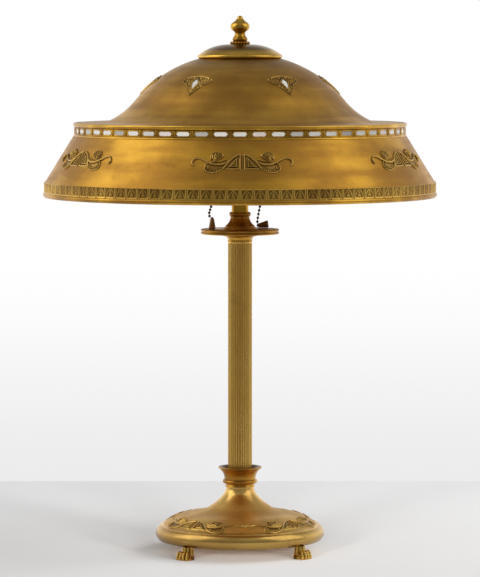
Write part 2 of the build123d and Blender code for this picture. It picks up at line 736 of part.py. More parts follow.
nipple = tube(NIPPLE_R, NIPPLE_BORE_R, nipple_start, SOCKET_START + NIPPLE_REACH - nipple_start)
socket_pieces = {
    "socket_cap": socket_cap(),
    "socket_shell": socket_shell(),
    "socket_liner": tube(liner_r, liner_r - LINER_WALL, body_end, shell_end - body_end),
    "socket_body": tube(body_r, NIPPLE_BORE_R, SOCKET_BODY_START, SOCKET_BODY_LENGTH),
    "screw_shell": tube(SCREW_SHELL_R, SCREW_SHELL_R - SCREW_SHELL_WALL, body_end, SCREW_SHELL_LENGTH),
    "centre_contact": tube(NIPPLE_BORE_R + CONTACT_R, 0, body_end, CONTACT_HEIGHT),
    "chain_guide": chain_guide(),
    "bulb_base": bulb_base(),
    "bulb_glass": bulb_glass(),
}
sides = {"right": lamp_side(CLUSTER_TURN), "left": lamp_side(CLUSTER_TURN + 180)}
for side, place in sides.items():
    for name, piece in socket_pieces.items():
        save(place * piece, f"{side}_{name}")
save([place * nipple for place in sides.values()], "socket_nipples")


# Pull chains: beads on a wire from the guide's mouth to a small cone on the disc
def linked_bead(pitch):
    """A bead at the origin, turned in one with the link that reaches up to the next bead."""
    neck_z = math.sqrt(CHAIN_BEAD_R ** 2 - CHAIN_WIRE_R ** 2)
    link_end = pitch - CHAIN_BEAD_R - THREAD_GAP
    return turned(
        ThreePointArc((0, -CHAIN_BEAD_R), (CHAIN_BEAD_R, 0), (CHAIN_WIRE_R, neck_z)),
        Polyline((CHAIN_WIRE_R, neck_z), (CHAIN_WIRE_R, link_end), (0, link_end), (0, -CHAIN_BEAD_R)),
    )


def bead_chain(path):
    """Beads and links from one end of a path to the other."""
    count = int(path.length / CHAIN_PITCH)
    places = [path @ (i / count) for i in range(count + 1)]
    chain = []
    for place, following in zip(places, places[1:]):
        step = following - place
        chain.append(Plane(origin=place, z_dir=step) * linked_bead(step.length))
    return chain + [Pos(places[-1]) * Sphere(CHAIN_BEAD_R)]


def cone_pull():
    """Cone pull along Z, with a cup at the origin for the chain's last bead and its foot below."""
    hem = PULL_R / 4
    foot = -PULL_LENGTH
    cone = turned(
        Polyline((0, foot), (0, 0), (PULL_TIP_R, 0), (PULL_R, foot + hem)),
        ThreePointArc((PULL_R, foot + hem), (PULL_R - hem / 3, foot + hem / 3), (PULL_R - hem, foot)),
        Line((PULL_R - hem, foot), (0, foot)),
    )
    return cone - Sphere(CHAIN_BEAD_R + THREAD_GAP)


def guide_point(place, beyond):
    """Point on a chain guide's axis, so far beyond its mouth."""
    return (place * Pos(0, guide_mouth + beyond, GUIDE_AT)).position


pull_floor = disc_top + PULL_LIFT
left_x, left_y = (share * DISC_R for share in LEFT_PULL_SHARE)
right_x, right_y = (share * DISC_R for share in RIGHT_PULL_SHARE)
left_tip = Vector(left_x, left_y, pull_floor + PULL_LENGTH)
left_start = guide_point(sides["left"], -CHAIN_PITCH)
left_bend = guide_point(sides["left"], CHAIN_PITCH) + Vector(0, 0, -CHAIN_PITCH)
left_path = Spline(
    left_start,
    left_bend,
    left_bend + Vector(-0.5, 0.5, -CHAIN_BEND),
    left_tip + Vector(-3.6, -3.0, 7.0),
    left_tip,
    tangents=[(0, -1, 0), (0.6, 0.4, -1)],
)
right_slope = math.degrees(math.atan2(PULL_R - PULL_TIP_R, PULL_LENGTH))
right_tip = Vector(right_x, right_y, pull_floor + PULL_TIP_R / math.cos(math.radians(right_slope)))
right_start = guide_point(sides["right"], -CHAIN_PITCH)
right_bend = guide_point(sides["right"], CHAIN_PITCH) + Vector(0, 0, -CHAIN_PITCH)
right_path = Spline(
    right_start,
    right_bend,
    right_bend + Vector(-1.0, 0.5, -CHAIN_BEND),
    right_tip + Vector(2.0, 1.0, 22.0),
    right_tip + Vector(-2.2, 0, 5.5),
    right_tip,
    tangents=[(0, 1, 0), (1, 0, -0.4)],
)
save(bead_chain(left_path), "left_chain")
save(bead_chain(right_path), "right_chain")
save(Pos(left_tip) * cone_pull(), "left_pull")
save(Pos(right_tip) * Rot(0, -90 - right_slope, 0) * cone_pull(), "right_pull")


# Riser and shade wheel
def riser_rod():
    low = socket_z + NIPPLE_R
    shoulder = wheel_top + RISER_SPARE
    return turned_points(
        (0, low), (ROD_R, low), (ROD_R, shoulder), (STUD_R, shoulder), (STUD_R, shoulder + STUD_LENGTH),
        (0, shoulder + STUD_LENGTH)
    )


def shade_wheel():
    ring_z = wheel_top - WHEEL_THICK
    hub_z = wheel_top - WHEEL_HUB_HEIGHT
    hole_r = ROD_R + THREAD_GAP
    wheel = tube(WHEEL_R, WHEEL_R - WHEEL_RING, ring_z, WHEEL_THICK)
    wheel += tube(WHEEL_HUB_R, hole_r, hub_z, WHEEL_HUB_HEIGHT)
    inner = (hole_r + WHEEL_HUB_R) / 2
    outer = WHEEL_R - WHEEL_RING / 2
    arm = Box(outer - inner, WHEEL_ARM_WIDTH, WHEEL_THICK)
    return wheel + ring_of(Pos((inner + outer) / 2, 0, ring_z + WHEEL_THICK / 2) * arm, WHEEL_ARMS)


save(riser_rod(), "riser_rod")
save(shade_wheel(), "shade_wheel")
lock_nut_low = wheel_top - WHEEL_HUB_HEIGHT - LOCK_NUT_HEIGHT
lock_nut = hex_nut(LOCK_NUT_WIDTH, LOCK_NUT_HEIGHT, ROD_R + THREAD_GAP, 0)
save([Pos(0, 0, z) * lock_nut for z in (lock_nut_low, wheel_top)], "lock_nuts")


# Shade: dome, gallery, skirt, rim band and rolled bead
dome_crown = ThreePointArc(
    (DOME_FLANGE_R, flange_top),
    (dome_hip_r, flange_top - DOME_HIP_DROP),
    (dome_waist_r, flange_top - DOME_WAIST_DROP),
)
dome_flare = TangentArc(dome_crown @ 1, (dome_foot_r, shelf_top + SHEET), tangent=dome_crown % 1)
shelf_start = shelf_r - LEDGE_WIDTH - SHEET
dome_shelf = Polyline((dome_foot_r, shelf_top + SHEET), (shelf_start, shelf_top), (shelf_r, shelf_top))
dome_flange = Line((DOME_MOUTH_R, flange_top), (DOME_FLANGE_R, flange_top))


def shade_dome():
    skin = Wire([dome_flange, dome_crown, dome_flare, *dome_shelf.edges()])
    return turned(skin.offset_2d(SHEET, kind=Kind.INTERSECTION, side=Side.RIGHT))


def window_outline(gap):
    """Elongated hexagon of a gallery window, drawn in by a gap."""
    half = window_length / 2 - gap
    side = half - WINDOW_POINT
    high = WINDOW_HEIGHT / 2 - gap
    return Polygon(
        (half, 0), (side, high), (-side, high), (-half, 0), (-side, -high), (side, -high), align=None
    )


window_z = gallery_z + FOOT_BEAD_HEIGHT + (GALLERY_HEIGHT - FOOT_BEAD_HEIGHT - CORNICE_HEIGHT) / 2


def on_gallery(sketch, radius, thickness):
    """Plate on the front of the gallery, its outer face at a radius."""
    face = Plane(origin=(0, -radius, window_z), x_dir=(1, 0, 0), z_dir=(0, -1, 0))
    return extrude(face * sketch, -thickness)


def gallery_band():
    inner_r = gallery_r - GALLERY_WALL
    ledge_top = shelf_top - SHEET
    cornice_r = gallery_r + CORNICE_PROUD
    cornice_z = gallery_top - CORNICE_HEIGHT
    bead_r = gallery_r + FOOT_BEAD_PROUD
    bead_top = gallery_z + FOOT_BEAD_HEIGHT
    bead_edge = (bead_r, gallery_z + FOOT_BEAD_HEIGHT / 3)
    band = turned(
        Polyline(
            (gallery_r + CORNICE_PROUD / 2, gallery_top), (inner_r, gallery_top), (inner_r, ledge_top),
            (inner_r - LEDGE_WIDTH, ledge_top), (inner_r - LEDGE_WIDTH, ledge_top - LEDGE_THICK),
            (inner_r, ledge_top - LEDGE_THICK), (inner_r, gallery_z), (bead_r, gallery_z), bead_edge,
        ),
        TangentArc(bead_edge, (gallery_r, bead_top), tangent=(0, 1)),
        Line((gallery_r, bead_top), (gallery_r, cornice_z)),
        ThreePointArc(
            (gallery_r, cornice_z),
            (cornice_r, gallery_top - CORNICE_HEIGHT / 2),
            (gallery_r + CORNICE_PROUD / 2, gallery_top),
        ),
    )
    wall_height = cornice_z - bead_top
    frame = on_gallery(window_outline(-FRAME_WIDTH), gallery_r + FRAME_PROUD, GALLERY_WALL)
    rib = on_gallery(Rectangle(RIB_WIDTH, wall_height), gallery_r + RIB_PROUD, GALLERY_WALL)
    half_pitch = 180 / WINDOW_COUNT
    rib_turn = math.degrees(RIB_PITCH / 2 / gallery_r)
    for turn in (half_pitch - rib_turn, half_pitch + rib_turn):
        band += ring_of(rib, WINDOW_COUNT, turn)
    band += ring_of(frame, WINDOW_COUNT)
    cutter = on_gallery(window_outline(0), gallery_r + CORNICE_PROUD, 4 * GALLERY_WALL)
    return band - ring_of(cutter, WINDOW_COUNT)


save(shade_dome(), "shade_dome")
save(gallery_band(), "gallery_band")
inlay = on_gallery(window_outline(INLAY_GAP), gallery_r - INLAY_RECESS, INLAY_THICK)
save(ring_of(inlay, WINDOW_COUNT), "gallery_inlays")

skirt_lean = math.atan2(skirt_foot_r - skirt_top_r, SKIRT_DROP)
skirt_wall = SHEET / math.cos(skirt_lean)
skirt = turned_points(
    (skirt_top_r, gallery_z), (skirt_top_r - skirt_wall, gallery_z), (skirt_foot_r - skirt_wall, skirt_z),
    (skirt_foot_r, skirt_z)
)
save(skirt, "shade_skirt")

rim_ease = RIM_WALL / 4
rim_band = turned_points(
    (RIM_R - RIM_WALL, rim_z), (RIM_R - rim_ease, rim_z), (RIM_R, rim_z + rim_ease),
    (RIM_R, skirt_z - rim_ease), (RIM_R - rim_ease, skirt_z), (RIM_R - RIM_WALL, skirt_z)
)


def leaf_panel():
    """Sunk ground of one panel, on either side of an upright leaf."""
    width = math.tau * RIM_R / LEAF_COUNT - LEAF_BAR
    height = RIM_HEIGHT - 2 * LEAF_BORDER
    leaf = make_face([
        Spline((-0.36 * width, -height), (-0.3 * width, 0), (0, height), tangents=[(0, 1), (1, 1.6)]),
        Spline((0, height), (0.3 * width, 0), (0.36 * width, -height), tangents=[(1, -1.6), (0, -1)]),
        Line((0.36 * width, -height), (-0.36 * width, -height)),
    ])
    vein = Pos(0, -height / 4) * Rectangle(LEAF_BAR / 4, height / 2)
    face = Plane(origin=(0, -RIM_R, rim_z + RIM_HEIGHT / 2), x_dir=(1, 0, 0), z_dir=(0, -1, 0))
    ground = Rectangle(width, height) - leaf + vein
    return extrude(face * ground, LEAF_DEPTH) + extrude(face * ground, -LEAF_DEPTH)


save(rim_band - ring_of(leaf_panel(), LEAF_COUNT), "rim_band")


def rim_bead():
    flat = math.sqrt(BEAD_R ** 2 - (BEAD_R - BEAD_SEAT) ** 2)
    return turned(
        Line((bead_ring_r - flat, rim_z), (bead_ring_r + flat, rim_z)),
        ThreePointArc(
            (bead_ring_r + flat, rim_z), (bead_ring_r, bead_z - BEAD_R), (bead_ring_r - flat, rim_z)
        ),
    )


save(rim_bead(), "rim_bead")


# Scroll castings on the skirt: a fret in a triangle, a crescent, a leaf and a tendril on each side
scroll_z = (gallery_z + skirt_z) / 2 + SCROLL_ABOVE
scroll_r = skirt_top_r + (gallery_z - scroll_z) * math.tan(skirt_lean)
skirt_normal = Vector(0, -math.cos(skirt_lean), math.sin(skirt_lean))
skirt_face = Plane(origin=(0, -scroll_r, scroll_z), x_dir=(1, 0, 0), z_dir=skirt_normal)


def skirt_layer(thickness):
    """Conical layer that lies on the skirt."""
    def out(radius, z, distance):
        return (radius + distance * math.cos(skirt_lean), z + distance * math.sin(skirt_lean))

    far = SEAT_GAP + thickness
    return turned_points(
        out(skirt_top_r, gallery_z, SEAT_GAP), out(skirt_top_r, gallery_z, far),
        out(skirt_foot_r, skirt_z, far), out(skirt_foot_r, skirt_z, SEAT_GAP)
    )


def on_skirt(sketch, thickness):
    reach = skirt_foot_r / 4
    block = extrude(skirt_face * sketch, reach / 4) + extrude(skirt_face * sketch, -reach / 2)
    return block & skirt_layer(thickness)


scroll_ground, scroll_raised = scroll_sketches(straight(SCROLL_WIDTH))
scroll_mount = on_skirt(scroll_ground, SCROLL_GROUND) + on_skirt(scroll_raised, SCROLL_RELIEF)
save(ring_of(scroll_mount, SCROLL_COUNT, SCROLL_TURN), "scroll_mounts")


# Shield castings on the dome, each round a lozenge of shell
shield_point = dome_crown @ SHIELD_PLACE
shield_slope = dome_crown % SHIELD_PLACE
shield_face = Plane(
    origin=(0, -shield_point.X, shield_point.Y), x_dir=(1, 0, 0), z_dir=(0, shield_slope.Y, shield_slope.X)
)


def dome_layer(near, far):
    """Layer over the crown of the dome."""
    middle = dome_crown.arc_center
    inner = dome_crown.radius + near
    outer = dome_crown.radius + far

    def at(radius, share):
        return middle + (dome_crown @ share - middle).normalized() * radius

    low, high = 1, SHIELD_PLACE / 4
    between = (low + high) / 2
    return turned(
        ThreePointArc(at(inner, high), at(inner, between), at(inner, low)),
        Line(at(inner, low), at(outer, low)),
        ThreePointArc(at(outer, low), at(outer, between), at(outer, high)),
        Line(at(outer, high), at(inner, high)),
    )


def lozenge(gap):
    """Kite-shaped outline of the shell in a shield, drawn in by a gap."""
    kite = Polygon(
        (0, LOZENGE_TOP), (LOZENGE_HALF, LOZENGE_SIDE), (0, -LOZENGE_TIP), (-LOZENGE_HALF, LOZENGE_SIDE),
        align=None,
    )
    return offset(kite, -gap, kind=Kind.INTERSECTION)


def both_halves(sketch):
    """A sketch and its mirror image across the vertical middle line."""
    return sketch + mirror(sketch, Plane.YZ)


def shield_sketch():
    wing = (SHIELD_HALF, SHIELD_WING)
    brow = (0.565 * SHIELD_HALF, 0.9 * SHIELD_TOP)
    hip = (SHIELD_HALF / 2, 0)
    half = make_face([
        Line((0, -SHIELD_TIP), (0, SHIELD_TOP)),
        Spline((0, SHIELD_TOP), brow, wing, tangents=[(1, 0.3), (0.6, -1)]),
        Spline(wing, hip, tangents=[(-0.8, -0.8), (-1, -0.2)]),
        Spline(hip, (0, -SHIELD_TIP), tangents=[(-0.1, -1), (-0.8, -1)]),
    ])
    return both_halves(half) - lozenge(0)


def on_dome(sketch, near, far):
    reach = SHIELD_HALF
    block = extrude(shield_face * sketch, reach / 2) + extrude(shield_face * sketch, -reach / 2)
    return block & dome_layer(near, far)


shield = on_dome(shield_sketch(), SEAT_GAP, SEAT_GAP + SHIELD_THICK)
shield_inlay = on_dome(lozenge(INLAY_GAP), SEAT_GAP, SEAT_GAP + SHIELD_INLAY_THICK)
shield_turn = 180 / SHIELD_COUNT
save(ring_of(shield, SHIELD_COUNT, shield_turn), "dome_mounts")
save(ring_of(shield_inlay, SHIELD_COUNT, shield_turn), "dome_inlays")


# Heat cap, washer and finial
def heat_cap():
    hole_r = STUD_R + SLIP
    edge = (cap_edge_r, cap_top - CAP_EDGE_DROP)
    middle = dome_crown.arc_center
    lip_reach = cap_edge_r - SHEET - middle.X
    low = middle.Y + math.sqrt(dome_crown.radius ** 2 - lip_reach ** 2) + SEAT_GAP
    inner_edge = (cap_edge_r - SHEET, cap_top - CAP_EDGE_DROP - SHEET)
    return turned(
        Polyline(
            (CAP_TOP_R, cap_top), (hole_r, cap_top), (hole_r, cap_top - SHEET), (CAP_TOP_R, cap_top - SHEET)
        ),
        TangentArc((CAP_TOP_R, cap_top - SHEET), inner_edge, tangent=(1, 0)),
        Line(inner_edge, (cap_edge_r - SHEET, low)),
        Line((cap_edge_r - SHEET, low), (cap_edge_r, low)),
        ThreePointArc((cap_edge_r, low), (CAP_R, (low + edge[1]) / 2), edge),
        TangentArc((CAP_TOP_R, cap_top), edge, tangent=(1, 0)),
    )


def finial_washer():
    hole_r = STUD_R + THREAD_GAP
    rim = cap_top + FINIAL_WASHER_HEIGHT / 2
    washer = turned_points(
        (FINIAL_RING_R, finial_z), (hole_r, finial_z), (hole_r, cap_top), (FINIAL_RING_R, cap_top),
        (WASHER_TOP_R, rim)
    )
    notch = Pos(WASHER_TOP_R + SCALLOP_R / 4, 0, rim) * Cylinder(SCALLOP_R, 2 * FINIAL_WASHER_HEIGHT)
    return washer - ring_of(notch, SCALLOP_COUNT)


def finial():
    hole_r = STUD_R + THREAD_GAP
    hole_top = wheel_top + RISER_SPARE + STUD_LENGTH + SLIP
    ring_top = finial_z + FINIAL_RING_HEIGHT
    neck = (FINIAL_NECK_R, finial_z + FINIAL_NECK_AT)
    bulb = (FINIAL_BULB_R, finial_z + FINIAL_BULB_AT)
    top = finial_z + FINIAL_HEIGHT
    foot_r = FINIAL_RING_R - FINIAL_RING_HEIGHT / 4
    return turned(
        Polyline(
            (0, top), (0, hole_top), (hole_r, hole_top), (hole_r, finial_z), (foot_r, finial_z)
        ),
        ThreePointArc(
            (foot_r, finial_z), (FINIAL_RING_R, finial_z + FINIAL_RING_HEIGHT / 2), (foot_r, ring_top)
        ),
        Spline((foot_r, ring_top), neck, bulb, tangents=[(-1, 0.2), (0, 1)]),
        Spline(bulb, (FINIAL_TIP_R, top), tangents=[(0, 1), (-0.4, 1)]),
        Line((FINIAL_TIP_R, top), (0, top)),
    )


save(heat_cap(), "heat_cap")
save(finial_washer(), "finial_washer")
save(finial(), "finial")
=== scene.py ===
import math

import bmesh
import bpy
import numpy as np
from mathutils import Matrix, Vector


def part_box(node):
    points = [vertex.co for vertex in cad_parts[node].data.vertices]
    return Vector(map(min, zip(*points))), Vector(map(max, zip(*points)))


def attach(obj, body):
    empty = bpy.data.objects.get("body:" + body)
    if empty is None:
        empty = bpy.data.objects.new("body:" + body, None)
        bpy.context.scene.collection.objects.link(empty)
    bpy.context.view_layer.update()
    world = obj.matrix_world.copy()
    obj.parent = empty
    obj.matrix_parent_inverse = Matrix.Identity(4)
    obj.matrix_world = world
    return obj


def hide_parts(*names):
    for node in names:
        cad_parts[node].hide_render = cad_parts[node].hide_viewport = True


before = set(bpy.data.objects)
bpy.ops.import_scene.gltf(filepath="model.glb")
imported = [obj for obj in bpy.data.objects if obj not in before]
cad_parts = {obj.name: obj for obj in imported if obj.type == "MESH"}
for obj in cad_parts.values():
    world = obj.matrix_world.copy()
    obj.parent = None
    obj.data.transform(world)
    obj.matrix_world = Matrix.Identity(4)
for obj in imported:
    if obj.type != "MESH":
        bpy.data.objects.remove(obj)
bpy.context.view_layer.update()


# Paw feet: four small bronze castings, an ankle of combed fur over a pad with four clawed toes. They are
# cast whole, gilded and rubbed bright, and each is held to the base by a screw from its sole.
MM = 0.001              # meshes are drawn in millimetres and scaled to the frame's metres
FOOT_NAMES = ["paw_foot_1", "paw_foot_2", "paw_foot_3", "paw_foot_4"]
FOOT_REACH = 89.0       # lamp's axis to the ankle
FOOT_TURN = -41.0       # degrees from +X to the first foot
FOOT_HEIGHT = 14.5
ANKLE_R = 5.5
ANKLE_FLARE = 1.2
ANKLE_LOW = 5.0
TUFT_COUNT = 9
TUFT_DEPTH = 1.0
TUFT_MIDDLE = 0.7       # share of a tuft's depth that lies inside the ankle's radius
PAD = ((0.8, 0, 1.2), (8.8, 7.4, 8.0))      # centre and half-sizes
BALL = ((5.2, 0, 3.6), (6.0, 6.6, 6.4))
TOE_COUNT = 4
TOE_ROOT = 0.6
TOE_PITCH = 3.5
TOE_SPLAY = 7.0
TOE_SHORTER = 0.035     # share that a toe loses with the square of its place off the middle
TOE_LUMPS = [           # knuckle, tip and claw: reach, height, half-sizes and droop
    (6.4, 5.4, (4.2, 2.1, 4.6), 20),
    (8.8, 3.0, (2.9, 2.0, 3.2), 30),
    (10.8, 1.2, (1.5, 1.0, 1.2), 38),
]
TOE_RIDGE = 0.5         # half-width of a toe's top, kept bright as rubbing with a painted highlight
TOE_SHADE = 0.45        # relief lost with each millimetre beside it, over two millimetres, as painted shade
PAW_VOXEL = 0.34
SHARP_EDGE = 42.0       # degrees past which an edge isn't shaded smooth
CLOUD_SCALE = (16, 16, 16)      # of the patches in gilding, for each metre
STAIN_SCALE = (55, 55, 55)
SPECK_SCALE = (420, 420, 420)
STAIN_DARK = 0.45       # share of the deep colour that is left in a stain
HOLLOW_DARK = 0.22      # and where the relief is lowest, as in a hollow's painted shade
GRAIN_DEPTH = 0.00002   # metres


class Tone:
    """A shader socket: arithmetic on it adds Math nodes, and node() adds a node of any other kind."""

    def __init__(self, tree, socket=None):
        self.tree = tree
        self.socket = socket

    def node(self, kind, settings, inputs, output=0):
        made = self.tree.nodes.new("ShaderNode" + kind)
        for name, value in settings.items():
            setattr(made, name, value)
        for name, value in inputs.items():
            if isinstance(value, Tone):
                self.tree.links.new(value.socket, made.inputs[name])
            else:
                made.inputs[name].default_value = value
        return Tone(self.tree, made.outputs[output] if made.outputs else None)

    def maths(self, operation, first, second):
        return self.node("Math", {"operation": operation}, {0: first, 1: second})

    def __add__(self, other):
        return self.maths("ADD", self, other)

    def __sub__(self, other):
        return self.maths("SUBTRACT", self, other)

    def __rsub__(self, other):
        return self.maths("SUBTRACT", other, self)

    def __mul__(self, other):
        return self.maths("MULTIPLY", self, other)

    __radd__ = __add__
    __rmul__ = __mul__

    def fade(self, low, high):
        """0 below low, 1 above high, smooth between them."""
        limits = {"Value": self, "From Min": low, "From Max": high}
        return self.node("MapRange", {"interpolation_type": "SMOOTHSTEP"}, limits)

    def mix(self, first, second):
        """The first colour where this is 0, the second where it is 1."""
        first, second = (part if isinstance(part, Tone) else (*part, 1) for part in (first, second))
        return self.node("Mix", {"data_type": "RGBA"}, {0: self, 6: first, 7: second}, output=2)

    def noise(self, scale, detail=4.0, roughness=0.55):
        """Noise over these coordinates, stretched by a scale for each axis."""
        spread = self.node("Mapping", {}, {"Vector": self, "Scale": scale})
        settings = {"Vector": spread, "Scale": 1.0, "Detail": detail, "Roughness": roughness}
        return self.node("TexNoise", {}, settings)


def new_material(name):
    """An empty material, the start of its node tree, and its Object coordinates."""
    material = bpy.data.materials.new(name)
    material.use_nodes = True
    material.node_tree.nodes.clear()
    start = Tone(material.node_tree)
    return material, start, start.node("TexCoord", {}, {}, output="Object")


def close_material(start, **inputs):
    """Adds the surface shader, with its inputs named in lower case, and the material's output."""
    named = {name.replace("_", " ").title().replace("Ior", "IOR"): value for name, value in inputs.items()}
    surface = start.node("BsdfPrincipled", {}, named)
    start.node("OutputMaterial", {}, {"Surface": surface})


def grain(start, height, distance):
    """Bump from a height, with a depth in metres."""
    return start.node("Bump", {}, {"Strength": 1.0, "Distance": distance, "Height": height}, output="Normal")


def gilt(name, bright, mid, deep, roughness, streak=(30, 30, 30), relief=0.0, streak_weight=0.55, dull=None):
    """Aged gilding: bright where it is rubbed, brown where it is thin. Where a relief attribute is low it
    paints shade, as in the hollows of an ornament, and where it is high it paints a highlight together with
    rubbing. It is dull between two radii, in metres, if they are given."""
    material, start, place = new_material(name)
    clouds = place.noise(CLOUD_SCALE, detail=5)
    streaks = place.noise(streak, detail=4, roughness=0.5)
    specks = place.noise(SPECK_SCALE, detail=3)
    blend = (clouds * (1 - streak_weight) + streaks * streak_weight).fade(0.36, 0.64)
    colour = blend.mix(deep, mid)
    worn = (streaks * 0.5 + clouds * 0.5).fade(0.46, 0.68)
    colour = (worn * 0.75).mix(colour, bright)
    stains = place.noise(STAIN_SCALE, detail=3).fade(0.6, 0.76) * 0.3
    colour = stains.mix(colour, [part * STAIN_DARK for part in deep])
    if relief:
        height = start.node("Attribute", {"attribute_name": "relief"}, {}, output="Fac")
        # Painted shade where the relief is low.
        hollow = (1 - height.fade(0.2, 0.7)) * relief
        colour = hollow.mix(colour, [part * HOLLOW_DARK for part in deep])
        # Painted highlight, with rubbing, where the relief is high.
        colour = (height.fade(0.72, 0.98) * 0.6).mix(colour, bright)
    rough = roughness + (1 - blend) * 0.1 + specks.fade(0.45, 0.75) * 0.05
    if dull:
        flat = place.node("Mapping", {}, {"Vector": place, "Scale": (1, 1, 0)})
        reach = flat.node("VectorMath", {"operation": "LENGTH"}, {0: flat}, output="Value")
        rough = rough + reach.fade(*dull[0]) * (1 - reach.fade(*dull[1])) * 0.2
    normal = grain(start, specks * 0.6 + streaks * 0.4, GRAIN_DEPTH)
    close_material(start, base_color=colour, metallic=1.0, roughness=rough, normal=normal)
    return material


def new_object(name, data):
    """An object at the origin, linked to the scene."""
    made = bpy.data.objects.new(name, data)
    bpy.context.scene.collection.objects.link(made)
    return made


def add_piece(name, mesh, finish, body, slot, *nodes):
    """Makes a mesh in millimetres a piece that rides on a body and stands for CAD nodes."""
    bmesh.ops.scale(mesh, vec=(MM, MM, MM), verts=mesh.verts)
    data = bpy.data.meshes.new(name)
    mesh.to_mesh(data)
    mesh.free()
    data.shade_smooth()
    data.set_sharp_from_angle(angle=math.radians(SHARP_EDGE))
    data.materials.append(finish)
    piece = new_object(name, data)
    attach(piece, body)
    if nodes:
        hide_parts(*nodes)
    return piece


def egg(mesh, centre, size, turn=0.0, droop=0.0):
    """Adds an ellipsoid of three half-sizes, turned about Z and tipped down."""
    place = Matrix.Translation(centre) @ Matrix.Rotation(math.radians(turn), 4, "Z")
    place = place @ Matrix.Rotation(math.radians(droop), 4, "Y") @ Matrix.Diagonal((*size, 1))
    bmesh.ops.create_uvsphere(mesh, u_segments=24, v_segments=16, radius=1, matrix=place)


def fuse(mesh, voxel):
    """Makes the lumps of a mesh one closed skin."""
    data = bpy.data.meshes.new("lumps")
    mesh.to_mesh(data)
    holder = new_object("lumps", data)
    skin = holder.modifiers.new("skin", "REMESH")
    skin.mode = "VOXEL"
    skin.voxel_size = voxel
    mesh.clear()
    mesh.from_object(holder, bpy.context.evaluated_depsgraph_get())
    bpy.data.objects.remove(holder)
    bpy.data.meshes.remove(data)


def angle_of(vert):
    """Angle of a vertex about the Z axis."""
    return math.atan2(vert.co.y, vert.co.x)


def draw_out(vert, share):
    """Moves a vertex off the Z axis by a share of its distance from it."""
    vert.co.x *= 1 + share
    vert.co.y *= 1 + share


def turn_round(mesh, verts, angle):
    """Turns some of a mesh about the Z axis."""
    bmesh.ops.rotate(mesh, verts=verts, cent=(0, 0, 0), matrix=Matrix.Rotation(angle, 3, "Z"))


def paw():
    """One foot with its toes towards +X and its ankle on the Z axis."""
    mesh = bmesh.new()
    egg(mesh, *PAD)
    egg(mesh, *BALL)
    toes = []
    for i in range(TOE_COUNT):
        side = i - (TOE_COUNT - 1) / 2
        turn = side * TOE_SPLAY
        share = 1.0 - TOE_SHORTER * side * side
        out = Vector((math.cos(math.radians(turn)), math.sin(math.radians(turn)), 0))
        root = Vector((TOE_ROOT, side * TOE_PITCH, 0))
        toes.append((root, out))
        for reach, height, size, droop in TOE_LUMPS:
            egg(mesh, root + out * reach * share + Vector((0, 0, height)), size, turn, droop)
    fuse(mesh, PAW_VOXEL)
    all_ways = {"use_axis_x": True, "use_axis_y": True, "use_axis_z": True}
    bmesh.ops.smooth_vert(mesh, verts=mesh.verts, factor=0.5, **all_ways)
    cut = bmesh.ops.bisect_plane(
        mesh, geom=mesh.verts[:] + mesh.edges[:] + mesh.faces[:], plane_co=(0, 0, 0), plane_no=(0, 0, -1),
        clear_outer=True,
    )["geom_cut"]
    bmesh.ops.edgeloop_fill(mesh, edges=[part for part in cut if isinstance(part, bmesh.types.BMEdge)])
    relief = mesh.verts.layers.float.new("relief")
    # Painted shade in the grooves between the toes, with each toe's top left bright.
    for vert in mesh.verts:
        off_toe = min(abs((vert.co - root).cross(out).z) for root, out in toes)
        vert[relief] = 1.0 - TOE_SHADE * min(max(off_toe - TOE_RIDGE, 0), 2)
    ankle = bmesh.ops.create_cone(
        mesh, cap_ends=True, segments=TUFT_COUNT * 12, radius1=ANKLE_R + ANKLE_FLARE, radius2=ANKLE_R,
        depth=FOOT_HEIGHT - ANKLE_LOW, matrix=Matrix.Translation((0, 0, (FOOT_HEIGHT + ANKLE_LOW) / 2)),
    )
    # Painted shade between the fur's tufts, with the tufts' tops lighter.
    for vert in ankle["verts"]:
        lobe = abs(math.cos(TUFT_COUNT / 2 * angle_of(vert))) ** 0.6
        vert[relief] = lobe
        draw_out(vert, TUFT_DEPTH * (lobe - TUFT_MIDDLE) / ANKLE_R)
    return mesh


paw_gilt = gilt("paw_gilt", (0.97, 0.66, 0.18), (0.74, 0.41, 0.06), (0.40, 0.18, 0.025), 0.16, relief=0.9)
first_paw = paw()
for number, node in enumerate(FOOT_NAMES):
    foot = first_paw.copy()
    bmesh.ops.translate(foot, vec=(FOOT_REACH, 0, 0), verts=foot.verts)
    turn_round(foot, foot.verts, math.radians(FOOT_TURN + 90 * number))
    add_piece(f"cast_{node}", foot, paw_gilt, "stand", "bright_gilt", node)


# Base: one bell-shaped bronze casting, hollow underneath, turned on its outside and gilded. A bullnose rim
# and a fine step ring run round its edge.
def reach_of(node):
    """Radius of a turned CAD node, in millimetres."""
    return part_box(node)[1].x / MM


def heights_of(node):
    """Lowest and highest point of a CAD node, in millimetres."""
    return [corner.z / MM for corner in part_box(node)]


TURN_STEPS = 256        # a whole number of steps in each sector
TURN_SECTORS = 16
EASE_STEPS = [0, 0.33, 0.67, 1]     # shares of the way round an eased corner
BASE_MOUTH_R = 81.0
BASE_RIM_FOOT_R = 92.0
BASE_R = reach_of("base_casting")
BASE_TOP = heights_of("base_casting")[1]
BASE_RIM_TOP = (91.8, 30.1)
BASE_STEP_R = 90.9
BASE_SLOPE_START = (88.9, 31.4)
BASE_SHOULDER = (54.0, 45.2)
BASE_SLOPE_MIDDLE = (72.0, 41.0)
BASE_BELL = [(45.0, 46.9), (37.0, 50.2), (30.0, 55.2), (23.6, 60.8), (18.2, 67.0), (16.2, 71.4)]
BASE_NECK_R = 15.85
BASE_BOSS = (22.0, 46.0)
ROD_HOLE_R = 5.3
BASE_CAVITY_KNEE = (72.0, 34.5)
BASE_CAVITY_TOP = 23.5
BASE_DULL = ((0.022, 0.034), (0.086, 0.088))    # radii where the dull part of the slope starts and ends
